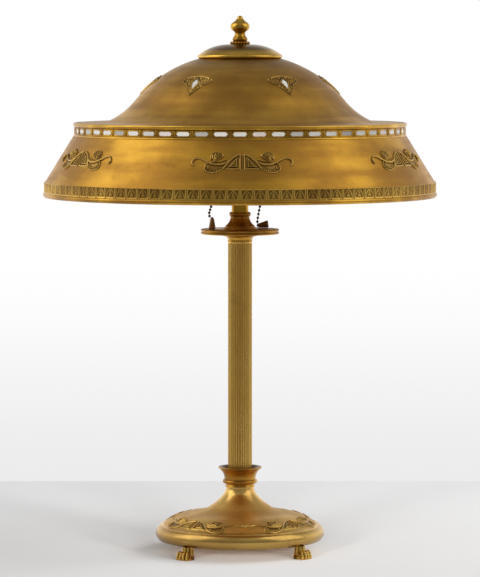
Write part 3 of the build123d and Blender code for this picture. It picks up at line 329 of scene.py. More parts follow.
PLAIN_RELIEF = 0.7      # relief of a place that is neither darkened nor brightened
RIM_FOOT_DARK = 0.26        # relief at the foot of the rim, where it is darkest
RIM_LIGHTER = 0.24      # gained over the height below
RIM_DARK_HEIGHT = 12.0


def circle_through(first, second, third):
    """Centre and radius of the circle through three points."""
    (ax, ay), (bx, by), (cx, cy) = first, second, third
    spread = 2 * (ax * (by - cy) + bx * (cy - ay) + cx * (ay - by))
    squares = [x * x + y * y for x, y in (first, second, third)]
    x = (squares[0] * (by - cy) + squares[1] * (cy - ay) + squares[2] * (ay - by)) / spread
    y = (squares[0] * (cx - bx) + squares[1] * (ax - cx) + squares[2] * (bx - ax)) / spread
    return (x, y), math.dist((x, y), first)


def arc(start, middle, end, steps=10):
    """Points along a circular arc through three points."""
    (x, y), radius = circle_through(start, middle, end)
    angles = [math.atan2(py - y, px - x) for px, py in (start, middle, end)]
    half = (angles[1] - angles[0]) % math.tau
    sweep = (angles[2] - angles[0]) % math.tau
    if half > sweep:
        sweep -= math.tau
    turns = [angles[0] + sweep * i / steps for i in range(steps + 1)]
    return [(x + radius * math.cos(turn), y + radius * math.sin(turn)) for turn in turns]


def tangent_arc(start, heading, end, steps=10):
    """Points along an arc that leaves its start in a heading."""
    chord = (end[0] - start[0], end[1] - start[1])
    across = chord[0] * heading[1] - chord[1] * heading[0]
    bend = math.atan2(across, chord[0] * heading[0] + chord[1] * heading[1])
    rise = math.tan(bend / 2) / 2
    middle = (start[0] + chord[0] / 2 - chord[1] * rise, start[1] + chord[1] / 2 + chord[0] * rise)
    return arc(start, middle, end, steps)


def blended(weights, points):
    """The sum of points, each with its weight."""
    return tuple(sum(weight * part for weight, part in zip(weights, axis)) for axis in zip(*points))


def flow(*points, steps=8):
    """Points along a smooth curve through the given points."""
    padded = [points[0], *points, points[-1]]
    curve = []
    for before, start, end, after in zip(padded, padded[1:], padded[2:], padded[3:]):
        for i in range(steps):
            t = i / steps
            weights = (
                (-t ** 3 + 2 * t * t - t) / 2, (3 * t ** 3 - 5 * t * t + 2) / 2,
                (-3 * t ** 3 + 4 * t * t + t) / 2, (t ** 3 - t * t) / 2,
            )
            curve.append(blended(weights, (before, start, end, after)))
    return [*curve, points[-1]]


def eased(points, ease=0.4):
    """A line through points with its corners rounded off."""
    line = [points[0]]
    for before, corner, after in zip(points, points[1:], points[2:]):
        cuts = []
        for other in (before, after):
            share = min(0.45, ease / max(math.dist(corner, other), 1e-6))
            cuts.append(tuple(c + (o - c) * share for c, o in zip(corner, other)))
        for t in EASE_STEPS:
            weights = ((1 - t) ** 2, 2 * t * (1 - t), t * t)
            line.append(blended(weights, (cuts[0], corner, cuts[1])))
    return [*line, points[-1]]


def ring_of(mesh, count, turn=0.0):
    """Repeats a mesh evenly about the Z axis, with the first copy turned by so many degrees."""
    first = mesh.verts[:] + mesh.edges[:] + mesh.faces[:]
    turn_round(mesh, mesh.verts, math.radians(turn))
    for i in range(1, count):
        copy = bmesh.ops.duplicate(mesh, geom=first)["geom"]
        points = [part for part in copy if isinstance(part, bmesh.types.BMVert)]
        turn_round(mesh, points, math.tau * i / count)
    return mesh


def turned(outline, steps=TURN_STEPS):
    """Closed skin turned about the Z axis from an outline of (radius, height) points."""
    mesh = bmesh.new()
    points = [mesh.verts.new((radius, 0, height)) for radius, height in outline]
    edges = [mesh.edges.new(pair) for pair in zip(points, points[1:])]
    bmesh.ops.spin(mesh, geom=points + edges, axis=(0, 0, 1), cent=(0, 0, 0), dvec=(0, 0, 0),
                   angle=math.tau / TURN_SECTORS, steps=steps // TURN_SECTORS)
    ring_of(mesh, TURN_SECTORS)
    bmesh.ops.remove_doubles(mesh, verts=mesh.verts, dist=1e-3)
    bmesh.ops.recalc_face_normals(mesh, faces=mesh.faces)
    return mesh


def radius_of(vert):
    """Distance of a vertex from the Z axis."""
    return math.hypot(vert.co.x, vert.co.y)


rim_middle = (BASE_R, (FOOT_HEIGHT + BASE_RIM_TOP[1]) / 2)
step_ring = [
    BASE_RIM_TOP, (BASE_STEP_R, BASE_RIM_TOP[1]), (BASE_STEP_R, BASE_SLOPE_START[1]), BASE_SLOPE_START,
]
base_outline = [
    (BASE_MOUTH_R, FOOT_HEIGHT),
    *arc((BASE_RIM_FOOT_R, FOOT_HEIGHT), rim_middle, BASE_RIM_TOP, 18),
    *eased(step_ring, 0.35),
    *arc(BASE_SLOPE_START, BASE_SLOPE_MIDDLE, BASE_SHOULDER, 14),
    *flow(BASE_SLOPE_MIDDLE, BASE_SHOULDER, *BASE_BELL, (BASE_NECK_R, BASE_TOP), steps=6)[7:],
    (ROD_HOLE_R, BASE_TOP),
    (ROD_HOLE_R, BASE_BOSS[1]),
    BASE_BOSS,
    BASE_CAVITY_KNEE,
    (BASE_MOUTH_R, BASE_CAVITY_TOP),
    (BASE_MOUTH_R, FOOT_HEIGHT),
]
base_gilt = gilt(
    "base_gilt", (0.97, 0.64, 0.17), (0.88, 0.54, 0.15), (0.72, 0.43, 0.12), 0.22,
    relief=0.8, dull=BASE_DULL,
)
base = turned(base_outline)
rim_darkening = base.verts.layers.float.new("relief")
# The bullnose rim is darker towards its foot.
for vert in base.verts:
    vert[rim_darkening] = PLAIN_RELIEF
    if radius_of(vert) > BASE_STEP_R:
        vert[rim_darkening] = RIM_FOOT_DARK + RIM_LIGHTER * min((vert.co.z - FOOT_HEIGHT) / RIM_DARK_HEIGHT, 1)
add_piece("base_bell", base, base_gilt, "stand", "gilt_bronze", "base_casting")


# Collar: a turned bronze cup on top of the base, with a torus ring and a flared lip that stands open round
# the foot of the column. It is threaded on the centre rod.
COLLAR_TOP = heights_of("base_collar")[1]
COLLAR_FLOOR = 86.0
COLLAR_CUP_R = 13.94
COLLAR_LIP = (24.7, COLLAR_TOP)
COLLAR_LIP_EDGE = 1.4
COLLAR_COVE_R = 17.6
COLLAR_RING_R = 19.8
COLLAR_RING = (78.4, 83.4)
COLLAR_FOOT_R = 16.8
CUP_DARK = 0.1          # relief of the cup's unlit inside


def bored(bore, *outline):
    """A ring's closed outline, from the radius of its bore and the points outside it."""
    return [(bore, outline[0][1]), *outline, (bore, outline[-1][1]), (bore, outline[0][1])]


lip_inner = (COLLAR_LIP[0] - COLLAR_LIP_EDGE, COLLAR_TOP)
lip_outer = (COLLAR_LIP[0], COLLAR_TOP - COLLAR_LIP_EDGE)
ring_low = (COLLAR_COVE_R, COLLAR_RING[0])
ring_high = (COLLAR_COVE_R, COLLAR_RING[1])
collar_outline = bored(
    ROD_HOLE_R, (COLLAR_FOOT_R, BASE_TOP), (BASE_NECK_R, COLLAR_RING[0]),
    *arc(ring_low, (COLLAR_RING_R, sum(COLLAR_RING) / 2), ring_high, 14),
    *tangent_arc(ring_high, (0, 1), lip_outer, 14),
    *eased([lip_outer, (COLLAR_LIP[0], COLLAR_TOP), lip_inner], 0.6),
    *tangent_arc((COLLAR_CUP_R, COLLAR_FLOOR), (0, 1), lip_inner, 14)[::-1],
)
collar = turned(collar_outline)
collar.normal_update()
cup_dark = collar.verts.layers.float.new("relief")
for vert in collar.verts:
    facing = vert.normal.x * vert.co.x + vert.normal.y * vert.co.y
    vert[cup_dark] = PLAIN_RELIEF if facing >= 0 else CUP_DARK
collar_gilt = gilt(
    "collar_gilt", (0.84, 0.50, 0.08), (0.64, 0.34, 0.05), (0.38, 0.18, 0.03), 0.24, relief=0.9
)
add_piece("flared_collar", collar, collar_gilt, "stand", "gilt_bronze", "base_collar")


# Column: a drawn bronze tube with thirty narrow flutes, each with rounded ends. It stands in the collar's
# cup and carries the capital.
COLUMN_R = reach_of("column_tube")
COLUMN_WALL = 2.8
COLUMN_Z = heights_of("column_tube")
FLUTE_COUNT = 30
FLUTE_FACES = 16
FLUTE_R = 1.1
FLUTE_DEPTH = 0.75
FLUTE_Z = (COLUMN_Z[0] + 7.0, COLUMN_Z[1] - 2.0)


def flute_depth(angle, height):
    """How far the column's skin lies in at an angle and height."""
    past = max(FLUTE_Z[0] - height, height - FLUTE_Z[1], 0)
    section = math.sqrt(max(FLUTE_R ** 2 - past ** 2, 0))
    pitch = math.tau / FLUTE_COUNT
    across = COLUMN_R * math.sin((angle + math.pi / 2 + pitch / 2) % pitch - pitch / 2)
    return max(math.sqrt(max(section ** 2 - across ** 2, 0)) - (FLUTE_R - FLUTE_DEPTH), 0)


flute_ends = [0.0, 0.35, 0.6, 0.8, 0.95]
rings = [COLUMN_Z[0], *(FLUTE_Z[0] - FLUTE_R * share for share in flute_ends[::-1])]
rings += [*(FLUTE_Z[1] + FLUTE_R * share for share in flute_ends), COLUMN_Z[1]]
inner_r = COLUMN_R - COLUMN_WALL
column = turned(bored(inner_r, *((COLUMN_R, z) for z in rings)), FLUTE_COUNT * FLUTE_FACES)
hollows = column.verts.layers.float.new("relief")
# Painted shade in the flutes, deepest at their bottoms, with the lands between them brightened.
for vert in column.verts:
    vert[hollows] = 1.0
    if radius_of(vert) > inner_r + 1:
        depth = flute_depth(angle_of(vert), vert.co.z)
        vert[hollows] = 1 - depth / FLUTE_DEPTH
        draw_out(vert, -depth / radius_of(vert))
column_gilt = gilt(
    "column_gilt", (0.98, 0.66, 0.19), (0.90, 0.55, 0.13), (0.66, 0.37, 0.07), 0.25,
    streak=(60, 60, 5), relief=0.3,
)
add_piece("fluted_column", column, column_gilt, "stand", "gilt_bronze", "column_tube")


# Capital, tray disc, neck, neck collar and stem: turned bronze pieces, threaded on the rod one above the
# other. The disc has two rims with a groove between them, and the pull chains hang down to it.
CAPITAL_R = reach_of("column_capital")
CAPITAL_Z = heights_of("column_capital")
CAPITAL_BEAD = 1.3
DISC_R = reach_of("tray_disc")
DISC_Z = heights_of("tray_disc")
DISC_RIM = 2.4
DISC_GROOVE = 1.1
NECK_R = reach_of("disc_neck")
NECK_STEP = 1.7
NECK_TOP_R = 10.8
STEM_Z = heights_of("stem_tube")
STEM_R = reach_of("stem_tube")
STEM_WALL = 1.2
NECK_COLLAR_R = reach_of("neck_collar")
NECK_COLLAR_TOP = heights_of("neck_collar")[1]

bead_r = COLUMN_R + CAPITAL_BEAD / 2
bead_top = CAPITAL_Z[0] + CAPITAL_BEAD
capital_bead = [(ROD_HOLE_R, CAPITAL_Z[0]), (bead_r, CAPITAL_Z[0]), (bead_r, bead_top), (COLUMN_R, bead_top)]
capital_edge = (CAPITAL_R, CAPITAL_Z[1] - CAPITAL_BEAD)
capital_outline = bored(
    ROD_HOLE_R, *eased(capital_bead, 0.4),
    *tangent_arc((COLUMN_R, bead_top), (0, 1), capital_edge, 12),
    *eased([capital_edge, (CAPITAL_R, CAPITAL_Z[1]), (ROD_HOLE_R, CAPITAL_Z[1])], 0.4),
)
groove_r = DISC_R - DISC_GROOVE
low_z = DISC_Z[1] - 2 * DISC_RIM - (DISC_Z[1] - DISC_Z[0] - 2 * DISC_RIM) / 2
disc_outline = bored(
    ROD_HOLE_R, (CAPITAL_R, DISC_Z[0]),
    *arc((groove_r, low_z), (DISC_R, low_z + DISC_RIM / 2), (groove_r, low_z + DISC_RIM), 10),
    *arc((groove_r, DISC_Z[1] - DISC_RIM), (DISC_R, DISC_Z[1] - DISC_RIM / 2), (groove_r, DISC_Z[1]), 10),
)
waist = (NECK_R - NECK_STEP, DISC_Z[1] + 2 * NECK_STEP)
neck_steps = [(NECK_R, DISC_Z[1]), (NECK_R, DISC_Z[1] + NECK_STEP), (waist[0], DISC_Z[1] + NECK_STEP), waist]
neck_outline = bored(
    ROD_HOLE_R, *eased(neck_steps, 0.5), *tangent_arc((NECK_TOP_R, STEM_Z[0]), (0, -1), waist, 12)[::-1],
)
edge_r = NECK_COLLAR_R - (NECK_COLLAR_TOP - STEM_Z[0]) / 4
ring_middle = (NECK_COLLAR_R, (STEM_Z[0] + NECK_COLLAR_TOP) / 2)
ring_outline = bored(STEM_R, *arc((edge_r, STEM_Z[0]), ring_middle, (edge_r, NECK_COLLAR_TOP), 12))
stem_outline = bored(STEM_R - STEM_WALL, (STEM_R, STEM_Z[0]), (STEM_R, STEM_Z[1]))
disc_bronze = gilt("disc_bronze", (0.70, 0.39, 0.065), (0.49, 0.25, 0.042), (0.30, 0.14, 0.028), 0.28)
stem_gilt = gilt("stem_gilt", (0.90, 0.54, 0.06), (0.70, 0.38, 0.035), (0.42, 0.20, 0.015), 0.14)
capital_gilt = gilt("capital_gilt", (0.84, 0.50, 0.08), (0.64, 0.35, 0.055), (0.40, 0.19, 0.03), 0.26)
for name, outline, finish, node in (
    ("turned_capital", capital_outline, capital_gilt, "column_capital"),
    ("rimmed_disc", disc_outline, disc_bronze, "tray_disc"),
    ("bell_neck", neck_outline, disc_bronze, "disc_neck"),
    ("neck_ring", ring_outline, disc_bronze, "neck_collar"),
    ("stem", stem_outline, stem_gilt, "stem_tube"),
):
    add_piece(name, turned(outline), finish, "stand", "dark_bronze", node)


# Fixings: plain steel rod, riser, washers, nuts, screws and the three-armed wheel that carries the shade,
# with a black bushing where the lead goes in. They are left as they come from the works, a little stained.
def dress(finish, *nodes):
    """Gives CAD nodes a finish."""
    for node in nodes:
        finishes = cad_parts[node].data.materials
        finishes.clear()
        finishes.append(finish)


def plain_steel():
    material, start, place = new_material("plain_steel")
    drawn = place.noise((500, 500, 30), detail=3)
    stain = place.noise((70, 70, 70), detail=5).fade(0.5, 0.72)
    colour = stain.mix((0.42, 0.42, 0.41), (0.20, 0.17, 0.14))
    normal = grain(start, drawn, 0.00004)
    close_material(start, base_color=colour, metallic=1.0, roughness=0.3 + stain * 0.25, normal=normal)
    return material


def moulded(name, colour, worn, roughness, scale):
    """A moulded, glazed or pressed finish with faint mottling."""
    material, start, place = new_material(name)
    mottle = place.noise((scale, scale, scale), detail=5)
    mottled = mottle.fade(0.35, 0.7).mix(colour, worn)
    normal = grain(start, mottle, 0.00005)
    close_material(start, base_color=mottled, roughness=roughness + mottle * 0.12, normal=normal)
    return material


dress(
    plain_steel(), "centre_rod", "riser_rod", "base_washer", "base_nut", "foot_screws", "lock_nuts",
    "socket_nipples", "shade_wheel",
)
dress(moulded("black_bushing", (0.02, 0.02, 0.02), (0.05, 0.05, 0.045), 0.45, 300), "lead_bushing")


# Cluster, sockets and bulbs: spun brass caps and shells round white insulating bodies, on a turned cluster
# that screws to the top of the stem. Each socket holds a frosted bulb that lies on its side.
socket_brass = gilt("socket_brass", (0.80, 0.53, 0.15), (0.60, 0.37, 0.09), (0.36, 0.19, 0.04), 0.26)
porcelain = moulded("porcelain", (0.86, 0.85, 0.80), (0.80, 0.78, 0.71), 0.18, 120)
liner_board = moulded("liner_board", (0.28, 0.18, 0.10), (0.36, 0.25, 0.15), 0.75, 700)
frosted_glass = moulded("frosted_glass", (0.90, 0.89, 0.85), (0.84, 0.83, 0.78), 0.32, 40)
dress(socket_brass, "cluster_body")
for side in ("left", "right"):
    brass_names = ("socket_cap", "socket_shell", "screw_shell", "centre_contact", "chain_guide", "bulb_base")
    dress(socket_brass, *(f"{side}_{name}" for name in brass_names))
    dress(porcelain, f"{side}_socket_body")
    dress(liner_board, f"{side}_socket_liner")
    dress(frosted_glass, f"{side}_bulb_glass")


# Pull chains: hollow brass beads on dumb-bell links, dark with age, each ending in a small cone that is
# pulled. One cone stands on the disc and the other lies on it.
CHAIN_PITCH = 4.35
CHAIN_BEAD_R = 1.6
CHAIN_WIRE_R = 0.45
LEFT_FALL = [(-31.5, -12.0, 380.9), (-34.0, -12.8, 382.8), (-35.2, -14.2, 385.8), (-34.0, -17.0, 390.2),
             (-31.9, -22.0, 398.0), (-31.6, -27.0, 408.0), (-33.0, -29.2, 425.0), (-33.5, -28.4, 440.0),
             (-33.5, -24.0, 445.0), (-33.5, -20.0, 445.0)]
RIGHT_FALL = [(20.5, 28.0, 371.1), (19.9, 28.0, 374.0), (20.0, 28.0, 378.0), (22.4, 28.0, 391.0),
              (27.6, 28.6, 415.0), (33.0, 28.6, 439.6), (33.5, 24.0, 445.0), (33.5, 20.0, 445.0)]


def bead_chain(fall):
    """Beads at an even pitch along a line from the pull up to the guide, with a link between each two."""
    places = [Vector(fall[0])]
    for point in flow(*fall):
        ahead = Vector(point) - places[-1]
        if ahead.length >= CHAIN_PITCH:
            places.append(places[-1] + ahead.normalized() * CHAIN_PITCH)
    mesh = bmesh.new()
    for place, following in zip(places, places[1:]):
        lean = (following - place).to_track_quat("Z", "Y").to_matrix().to_4x4()
        bmesh.ops.create_cone(
            mesh, cap_ends=True, segments=8, radius1=CHAIN_WIRE_R, radius2=CHAIN_WIRE_R, depth=CHAIN_PITCH,
            matrix=Matrix.Translation((place + following) / 2) @ lean,
        )
    for place in places:
        at = Matrix.Translation(place)
        bmesh.ops.create_icosphere(mesh, subdivisions=2, radius=CHAIN_BEAD_R, matrix=at)
    return mesh


chain_dark = gilt("chain_dark", (0.22, 0.16, 0.08), (0.055, 0.042, 0.026), (0.02, 0.016, 0.012), 0.3)
pull_bronze = gilt("pull_bronze", (0.56, 0.38, 0.18), (0.34, 0.22, 0.10), (0.14, 0.085, 0.04), 0.36)
dress(pull_bronze, "left_pull", "right_pull")
for side, fall in (("left", LEFT_FALL), ("right", RIGHT_FALL)):
    chain = bead_chain(fall)
    add_piece(f"{side}_bead_chain", chain, chain_dark, f"{side}_switch", "chain_bronze", f"{side}_chain")


# Shade dome: thin sheet metal spun on a former, with an ogee side and a flat shelf at its foot. The gilding
# has gone brown in level streaks, and it is darker towards the top.
SHEET = 1.0
DOME_MOUTH_R = 37.0
DOME_FLANGE = (43.0, heights_of("shade_dome")[1])
DOME_HIP = (81.8, DOME_FLANGE[1] - 16.0)
DOME_WAIST = (118.5, DOME_FLANGE[1] - 47.8)
SHELF_Z = DOME_FLANGE[1] - 73.3
DOME_FOOT = (151.0, SHELF_Z + SHEET)
SHELF_START = (179.8, SHELF_Z)
SHELF_R = 184.8
DOME_STEPS = 320
DOME_BROWN = 0.24       # relief at the mouth, where it is brownest
DOME_CLEARER = 0.46     # gained over the reach below, a share of the way to the waist
DOME_BROWN_REACH = 2 / 3

(crown_x, crown_z), crown_r = circle_through(DOME_FLANGE, DOME_HIP, DOME_WAIST)
waist_heading = (DOME_WAIST[1] - crown_z, crown_x - DOME_WAIST[0])
dome_skin = [
    (DOME_MOUTH_R, DOME_FLANGE[1]),
    *arc(DOME_FLANGE, DOME_HIP, DOME_WAIST, 26),
    *tangent_arc(DOME_WAIST, waist_heading, DOME_FOOT, 14),
    SHELF_START, (SHELF_R, SHELF_Z),
]


def offset_in(line, distance):
    """A line moved to its right-hand side, point by point."""
    moved = []
    for i, (x, y) in enumerate(line):
        ahead = line[min(i + 1, len(line) - 1)]
        behind = line[max(i - 1, 0)]
        run = math.dist(ahead, behind) or 1
        across, along = ((there - here) / run for there, here in zip(ahead, behind))
        moved.append((x + along * distance, y - across * distance))
    return moved


dome_skin = [point for point, following in zip(dome_skin, [*dome_skin[1:], None]) if point != following]
dome_outline = [*dome_skin, *offset_in(dome_skin, SHEET)[::-1], dome_skin[0]]
dome = turned(dome_outline, DOME_STEPS)
dome_darkening = dome.verts.layers.float.new("relief")
# Darker towards the mouth at the top, lighter towards the waist.
for vert in dome.verts:
    share = (radius_of(vert) - DOME_MOUTH_R) / (DOME_WAIST[0] - DOME_MOUTH_R)
    vert[dome_darkening] = DOME_BROWN + DOME_CLEARER * min(share / DOME_BROWN_REACH, 1)
dome_gilt = gilt(
    "dome_gilt", (0.80, 0.45, 0.07), (0.60, 0.32, 0.05), (0.40, 0.20, 0.036), 0.35,
    streak=(4, 4, 80), streak_weight=0.35, relief=0.7,
)
add_piece("spun_dome", dome, dome_gilt, "shade", "gilt_bronze", "shade_dome")


# Shields on the dome: six small castings of two wings round a kite of shell, on rivets through the sheet.
# Their ground is dark, with painted shade in its hollows, and the rims and ribs are rubbed bright, with a
# painted highlight.
SHIELD_COUNT = 6
SHIELD_PLACE = 0.72
SHIELD_WING = (19.5, 7.8)
SHIELD_TOP = 15.0
SHIELD_TIP = -16.0
SHIELD_SHOULDER = [(6.0, 13.6), (12.6, 12.0)]
SHIELD_MARGIN = 2.0     # of the grid that a shield is drawn on
SLOT_FLOOR = 0.1
KITE_FLOOR = 0.15
SHIELD_STEPS = [(14.4, 1.6), (9.6, -0.2), (8.4, -3.0), (5.8, -7.4)]
SHIELD_SLOTS = [
    [(8.2, 4.2), (9.4, 8.6)], [(11.4, 5.0), (12.8, 9.0)], [(14.6, 6.0), (16.0, 9.2)],
    [(4.6, -2.4), (2.2, -10.6)],
]
SHIELD_BOSSES = [(4.4, 10.9), (6.8, 1.8), (6.0, -4.4)]
SHIELD_KITE = [(0, 8.8), (3.4, 3.2), (0, -8.0), (-3.4, 3.2)]
KITE_FRAME = (1.5, 1.22)        # width and height of the frame's line against the kite's
RELIEF_SINK = 0.25      # ornament's edge below the surface that it lies on
RELIEF_STEP = 0.5
HOLLOW_SHADE_REACH = 1.1       # how far from a raised edge the painted shade of a hollow goes
HOLLOW_SHADE_TURNS = 8         # directions in which that is looked for
HOLLOW_SHADE_DEPTH = 0.42      # share of an ornament's height that makes a hollow's painted shade quite dark
FLAT_RELIEF = 0.66      # relief of a flat place, with neither painted shade nor a painted highlight


def nearest(u, v, path):
    """Distance of points from a path, and the share of the path at the nearest place."""
    best = np.full(u.shape, np.inf)
    along = np.zeros(u.shape)
    lengths = [math.dist(start, end) for start, end in zip(path, path[1:])]
    run = 0.0
    for (x0, y0), (x1, y1), length in zip(path, path[1:], lengths):
        if length == 0:
            continue
        share = np.clip(((u - x0) * (x1 - x0) + (v - y0) * (y1 - y0)) / length ** 2, 0, 1)
        away = np.hypot(u - x0 - share * (x1 - x0), v - y0 - share * (y1 - y0))
        along = np.where(away < best, (run + share * length) / sum(lengths), along)
        best = np.minimum(best, away)
        run += length
    return best, along


def ridge(u, v, path, width, height, far_share=1.0):
    """Half-round strip along a path, whose width ends at a share of what it starts with."""
    away, along = nearest(u, v, path)
    half = width / 2 * (1 + (far_share - 1) * along)
    return height * np.sqrt(np.clip(1 - (away / half) ** 2, 0, 1))


def plate(u, v, outline, height, ease):
    """Level area inside a closed outline, with eased edges."""
    closed = [*outline, outline[0]]
    away, _ = nearest(u, v, closed)
    inside = np.zeros(u.shape, bool)
    for (x0, y0), (x1, y1) in zip(closed, closed[1:]):
        if y0 != y1:
            inside ^= ((y0 > v) != (y1 > v)) & (u < (x1 - x0) * (v - y0) / (y1 - y0) + x0)
    return height * np.clip(0.5 + np.where(inside, away, -away) / ease, 0, 1)


def bosses(u, v, centres, radius, height):
    """Round beads at the given centres."""
    raised = np.zeros(u.shape)
    for x, y in centres:
        away = (u - x) ** 2 + (v - y) ** 2
        raised = np.maximum(raised, height * np.sqrt(np.clip(1 - away / radius ** 2, 0, 1)))
    return raised


def casting(height_of, half_u, half_v, place):
    """Grid over an ornament, raised by its height and laid on a surface, with the bare ground cut away."""
    mesh = bmesh.new()
    bmesh.ops.create_grid(
        mesh, x_segments=round(2 * half_u / RELIEF_STEP), y_segments=round(2 * half_v / RELIEF_STEP), size=1,
        matrix=Matrix.Diagonal((half_u, half_v, 1, 1)),
    )
    flat = np.array([vert.co[:2] for vert in mesh.verts]).T
    heights = height_of(*flat)
    # Painted shade: a point lower than the ornament round it is darkened, and one higher than it is
    # brightened as rubbing and a painted highlight.
    around = np.zeros(heights.shape)
    for turn in np.arange(HOLLOW_SHADE_TURNS) * math.tau / HOLLOW_SHADE_TURNS:
        beside = (flat[0] + HOLLOW_SHADE_REACH * math.cos(turn), flat[1] + HOLLOW_SHADE_REACH * math.sin(turn))
        around += height_of(*beside) / HOLLOW_SHADE_TURNS
    levels = np.clip(FLAT_RELIEF + (heights - around) / (HOLLOW_SHADE_DEPTH * heights.max()), 0, 1)
    relief = mesh.verts.layers.float.new("relief")
    for vert, u, v, height, level in zip(mesh.verts, *flat, heights, levels):
        vert.co = place(u, v, height - RELIEF_SINK)
        vert[relief] = level
    mesh.verts.index_update()
    bare = [face for face in mesh.faces if all(heights[vert.index] <= 0 for vert in face.verts)]
    bmesh.ops.delete(mesh, geom=bare, context="FACES")
    return mesh


crown_start = math.atan2(DOME_FLANGE[1] - crown_z, DOME_FLANGE[0] - crown_x)
crown_end = math.atan2(DOME_WAIST[1] - crown_z, DOME_WAIST[0] - crown_x)
shield_angle = crown_start + (crown_end - crown_start) * SHIELD_PLACE
shield_r = crown_x + crown_r * math.cos(shield_angle)


def on_dome(u, v, height):
    """Point on the front of the dome, above the shield's middle by v and off the sheet by a height."""
    angle = shield_angle + v / crown_r
    radius = crown_x + (crown_r + height) * math.cos(angle)
    turn = u / shield_r
    return radius * math.sin(turn), -radius * math.cos(turn), crown_z + (crown_r + height) * math.sin(angle)


def shield_height(u, v):
    """Relief of a shield: a ground with slots, a raised rim, small bosses and a frame round the kite."""
    side = np.abs(u)
    upper = flow((0, SHIELD_TOP), *SHIELD_SHOULDER, SHIELD_WING)
    lower = flow(SHIELD_WING, *SHIELD_STEPS, (0, SHIELD_TIP), steps=4)
    ground = plate(side, v, [*upper, *lower, (-1, SHIELD_TIP), (-1, SHIELD_TOP)], height=0.9, ease=0.7)
    height = np.maximum(ground, ridge(side, v, [*upper, *lower], width=1.3, height=1.5))
    for slot in SHIELD_SLOTS:
        height = np.where(ridge(side, v, slot, width=2.3, height=1) > 0, SLOT_FLOOR, height)
    height = np.maximum(height, bosses(side, v, SHIELD_BOSSES[:1], radius=1.7, height=1.9))
    height = np.maximum(height, bosses(side, v, SHIELD_BOSSES[1:], radius=1.2, height=1.7))
    frame_line = [(x * KITE_FRAME[0], y * KITE_FRAME[1]) for x, y in SHIELD_KITE]
    height = np.where(plate(u, v, frame_line, height=1, ease=0.4) > 0.5, KITE_FLOOR, height)
    return np.maximum(height, ridge(u, v, [*frame_line, frame_line[0]], width=1.5, height=1.8))


shield = casting(shield_height, SHIELD_WING[0] + SHIELD_MARGIN, SHIELD_TOP + SHIELD_MARGIN, on_dome)
shields = ring_of(shield, SHIELD_COUNT, 180 / SHIELD_COUNT)
shield_bronze = gilt(
    "shield_bronze", (0.80, 0.50, 0.12), (0.38, 0.20, 0.04), (0.22, 0.11, 0.025), 0.3, relief=0.97
)
add_piece("dome_shields", shields, shield_bronze, "shade", "relief_bronze", "dome_mounts")


# Shell: plates cut from mother-of-pearl and polished, cemented in the shields and behind the gallery's
# windows. Each plate has its own white, grey or rose cast.
KITE_HALF = (5.0, 10.0)         # of the grid that a kite is drawn on
KITE_CAST = 0.6


def mother_of_pearl():
    material, start, place = new_material("mother_of_pearl")
    cast = start.node("Attribute", {"attribute_name": "cast"}, {}, output="Fac")
    layers = place.noise((240, 240, 500), detail=4)
    colour = cast.fade(0.1, 0.4).mix((0.52, 0.49, 0.44), (0.92, 0.90, 0.83))
    colour = (cast.fade(0.78, 0.92) * 0.6).mix(colour, (0.88, 0.68, 0.64))
    colour = (layers.fade(0.52, 0.66) * 0.3).mix(colour, (0.86, 0.66, 0.62))
    colour = ((1 - layers.fade(0.36, 0.48)) * 0.25).mix(colour, (0.60, 0.72, 0.64))
    normal = grain(start, layers, 0.00012)
    close_material(
        start, base_color=colour, roughness=0.16 + layers * 0.1, coat_weight=0.6, coat_roughness=0.08,
        normal=normal,
    )
    return material


def kite_height(u, v):
    """Relief of a kite-shaped plate with a low ridge from end to end, and bare ground round it."""
    raised = plate(u, v, SHIELD_KITE, height=1.15, ease=0.5) + 0.25 - 0.05 * np.abs(u)
    return np.where(plate(u, v, SHIELD_KITE, height=1, ease=0.4) > 0.2, raised, 0)


pearl = mother_of_pearl()
kites = ring_of(casting(kite_height, *KITE_HALF, on_dome), SHIELD_COUNT, 180 / SHIELD_COUNT)
kite_cast = kites.verts.layers.float.new("cast")
for vert in kites.verts:
    vert[kite_cast] = KITE_CAST
shield_shell = add_piece("shield_shell", kites, pearl, "shade", "shell", "dome_inlays")


# Gallery: an upright bronze ring under the dome's shelf, with a bright cornice, a foot bead, and a row of
# six-sided windows in raised frames, with a pair of ribs between each two.
GALLERY_R = 187.1
GALLERY_WALL = 2.0
GALLERY_Z = heights_of("gallery_band")
CORNICE_PROUD = 1.6
CORNICE_HEIGHT = 4.6
FOOT_BEAD_PROUD = 1.3
FOOT_BEAD_HEIGHT = 2.4
LEDGE_WIDTH = 4.0
LEDGE_THICK = 1.4
WINDOW_COUNT = 56
WINDOW_LENGTH = 15.5
WINDOW_HEIGHT = 4.7
WINDOW_POINT = 2.0
WINDOW_FRAME = [(0, -0.15), (0.15, 0.3), (0.5, 0.42), (0.85, 0.3), (1.0, 0.0)]     # gap and height
STRIP_LENGTH = 5.0      # edge past which a flat strip is cut to bend round the gallery
RIB_SIZE = (1.0, 1.1)
RIB_SHORTER = 0.8       # than the wall between cornice and foot bead
RIB_OFFSET = 0.85
RIB_BEVEL = 0.3
WALL_RELIEF = 0.64      # relief of the wall's face, and at most where it stands proud
PROUD_RELIEF = 0.85
CORNICE_SHADE = 0.1     # relief of the dark line under the cornice
SHELL_FACE = -0.7       # shell's face behind the wall's
SHELL_GAP = -0.1
SHELL_EDGE = 0.7
SHELL_DOMING = 0.3
SHELL_THICK = 0.6
SHELL_CAST_STEP = 0.618     # from one plate's cast to the next, so that neighbours differ

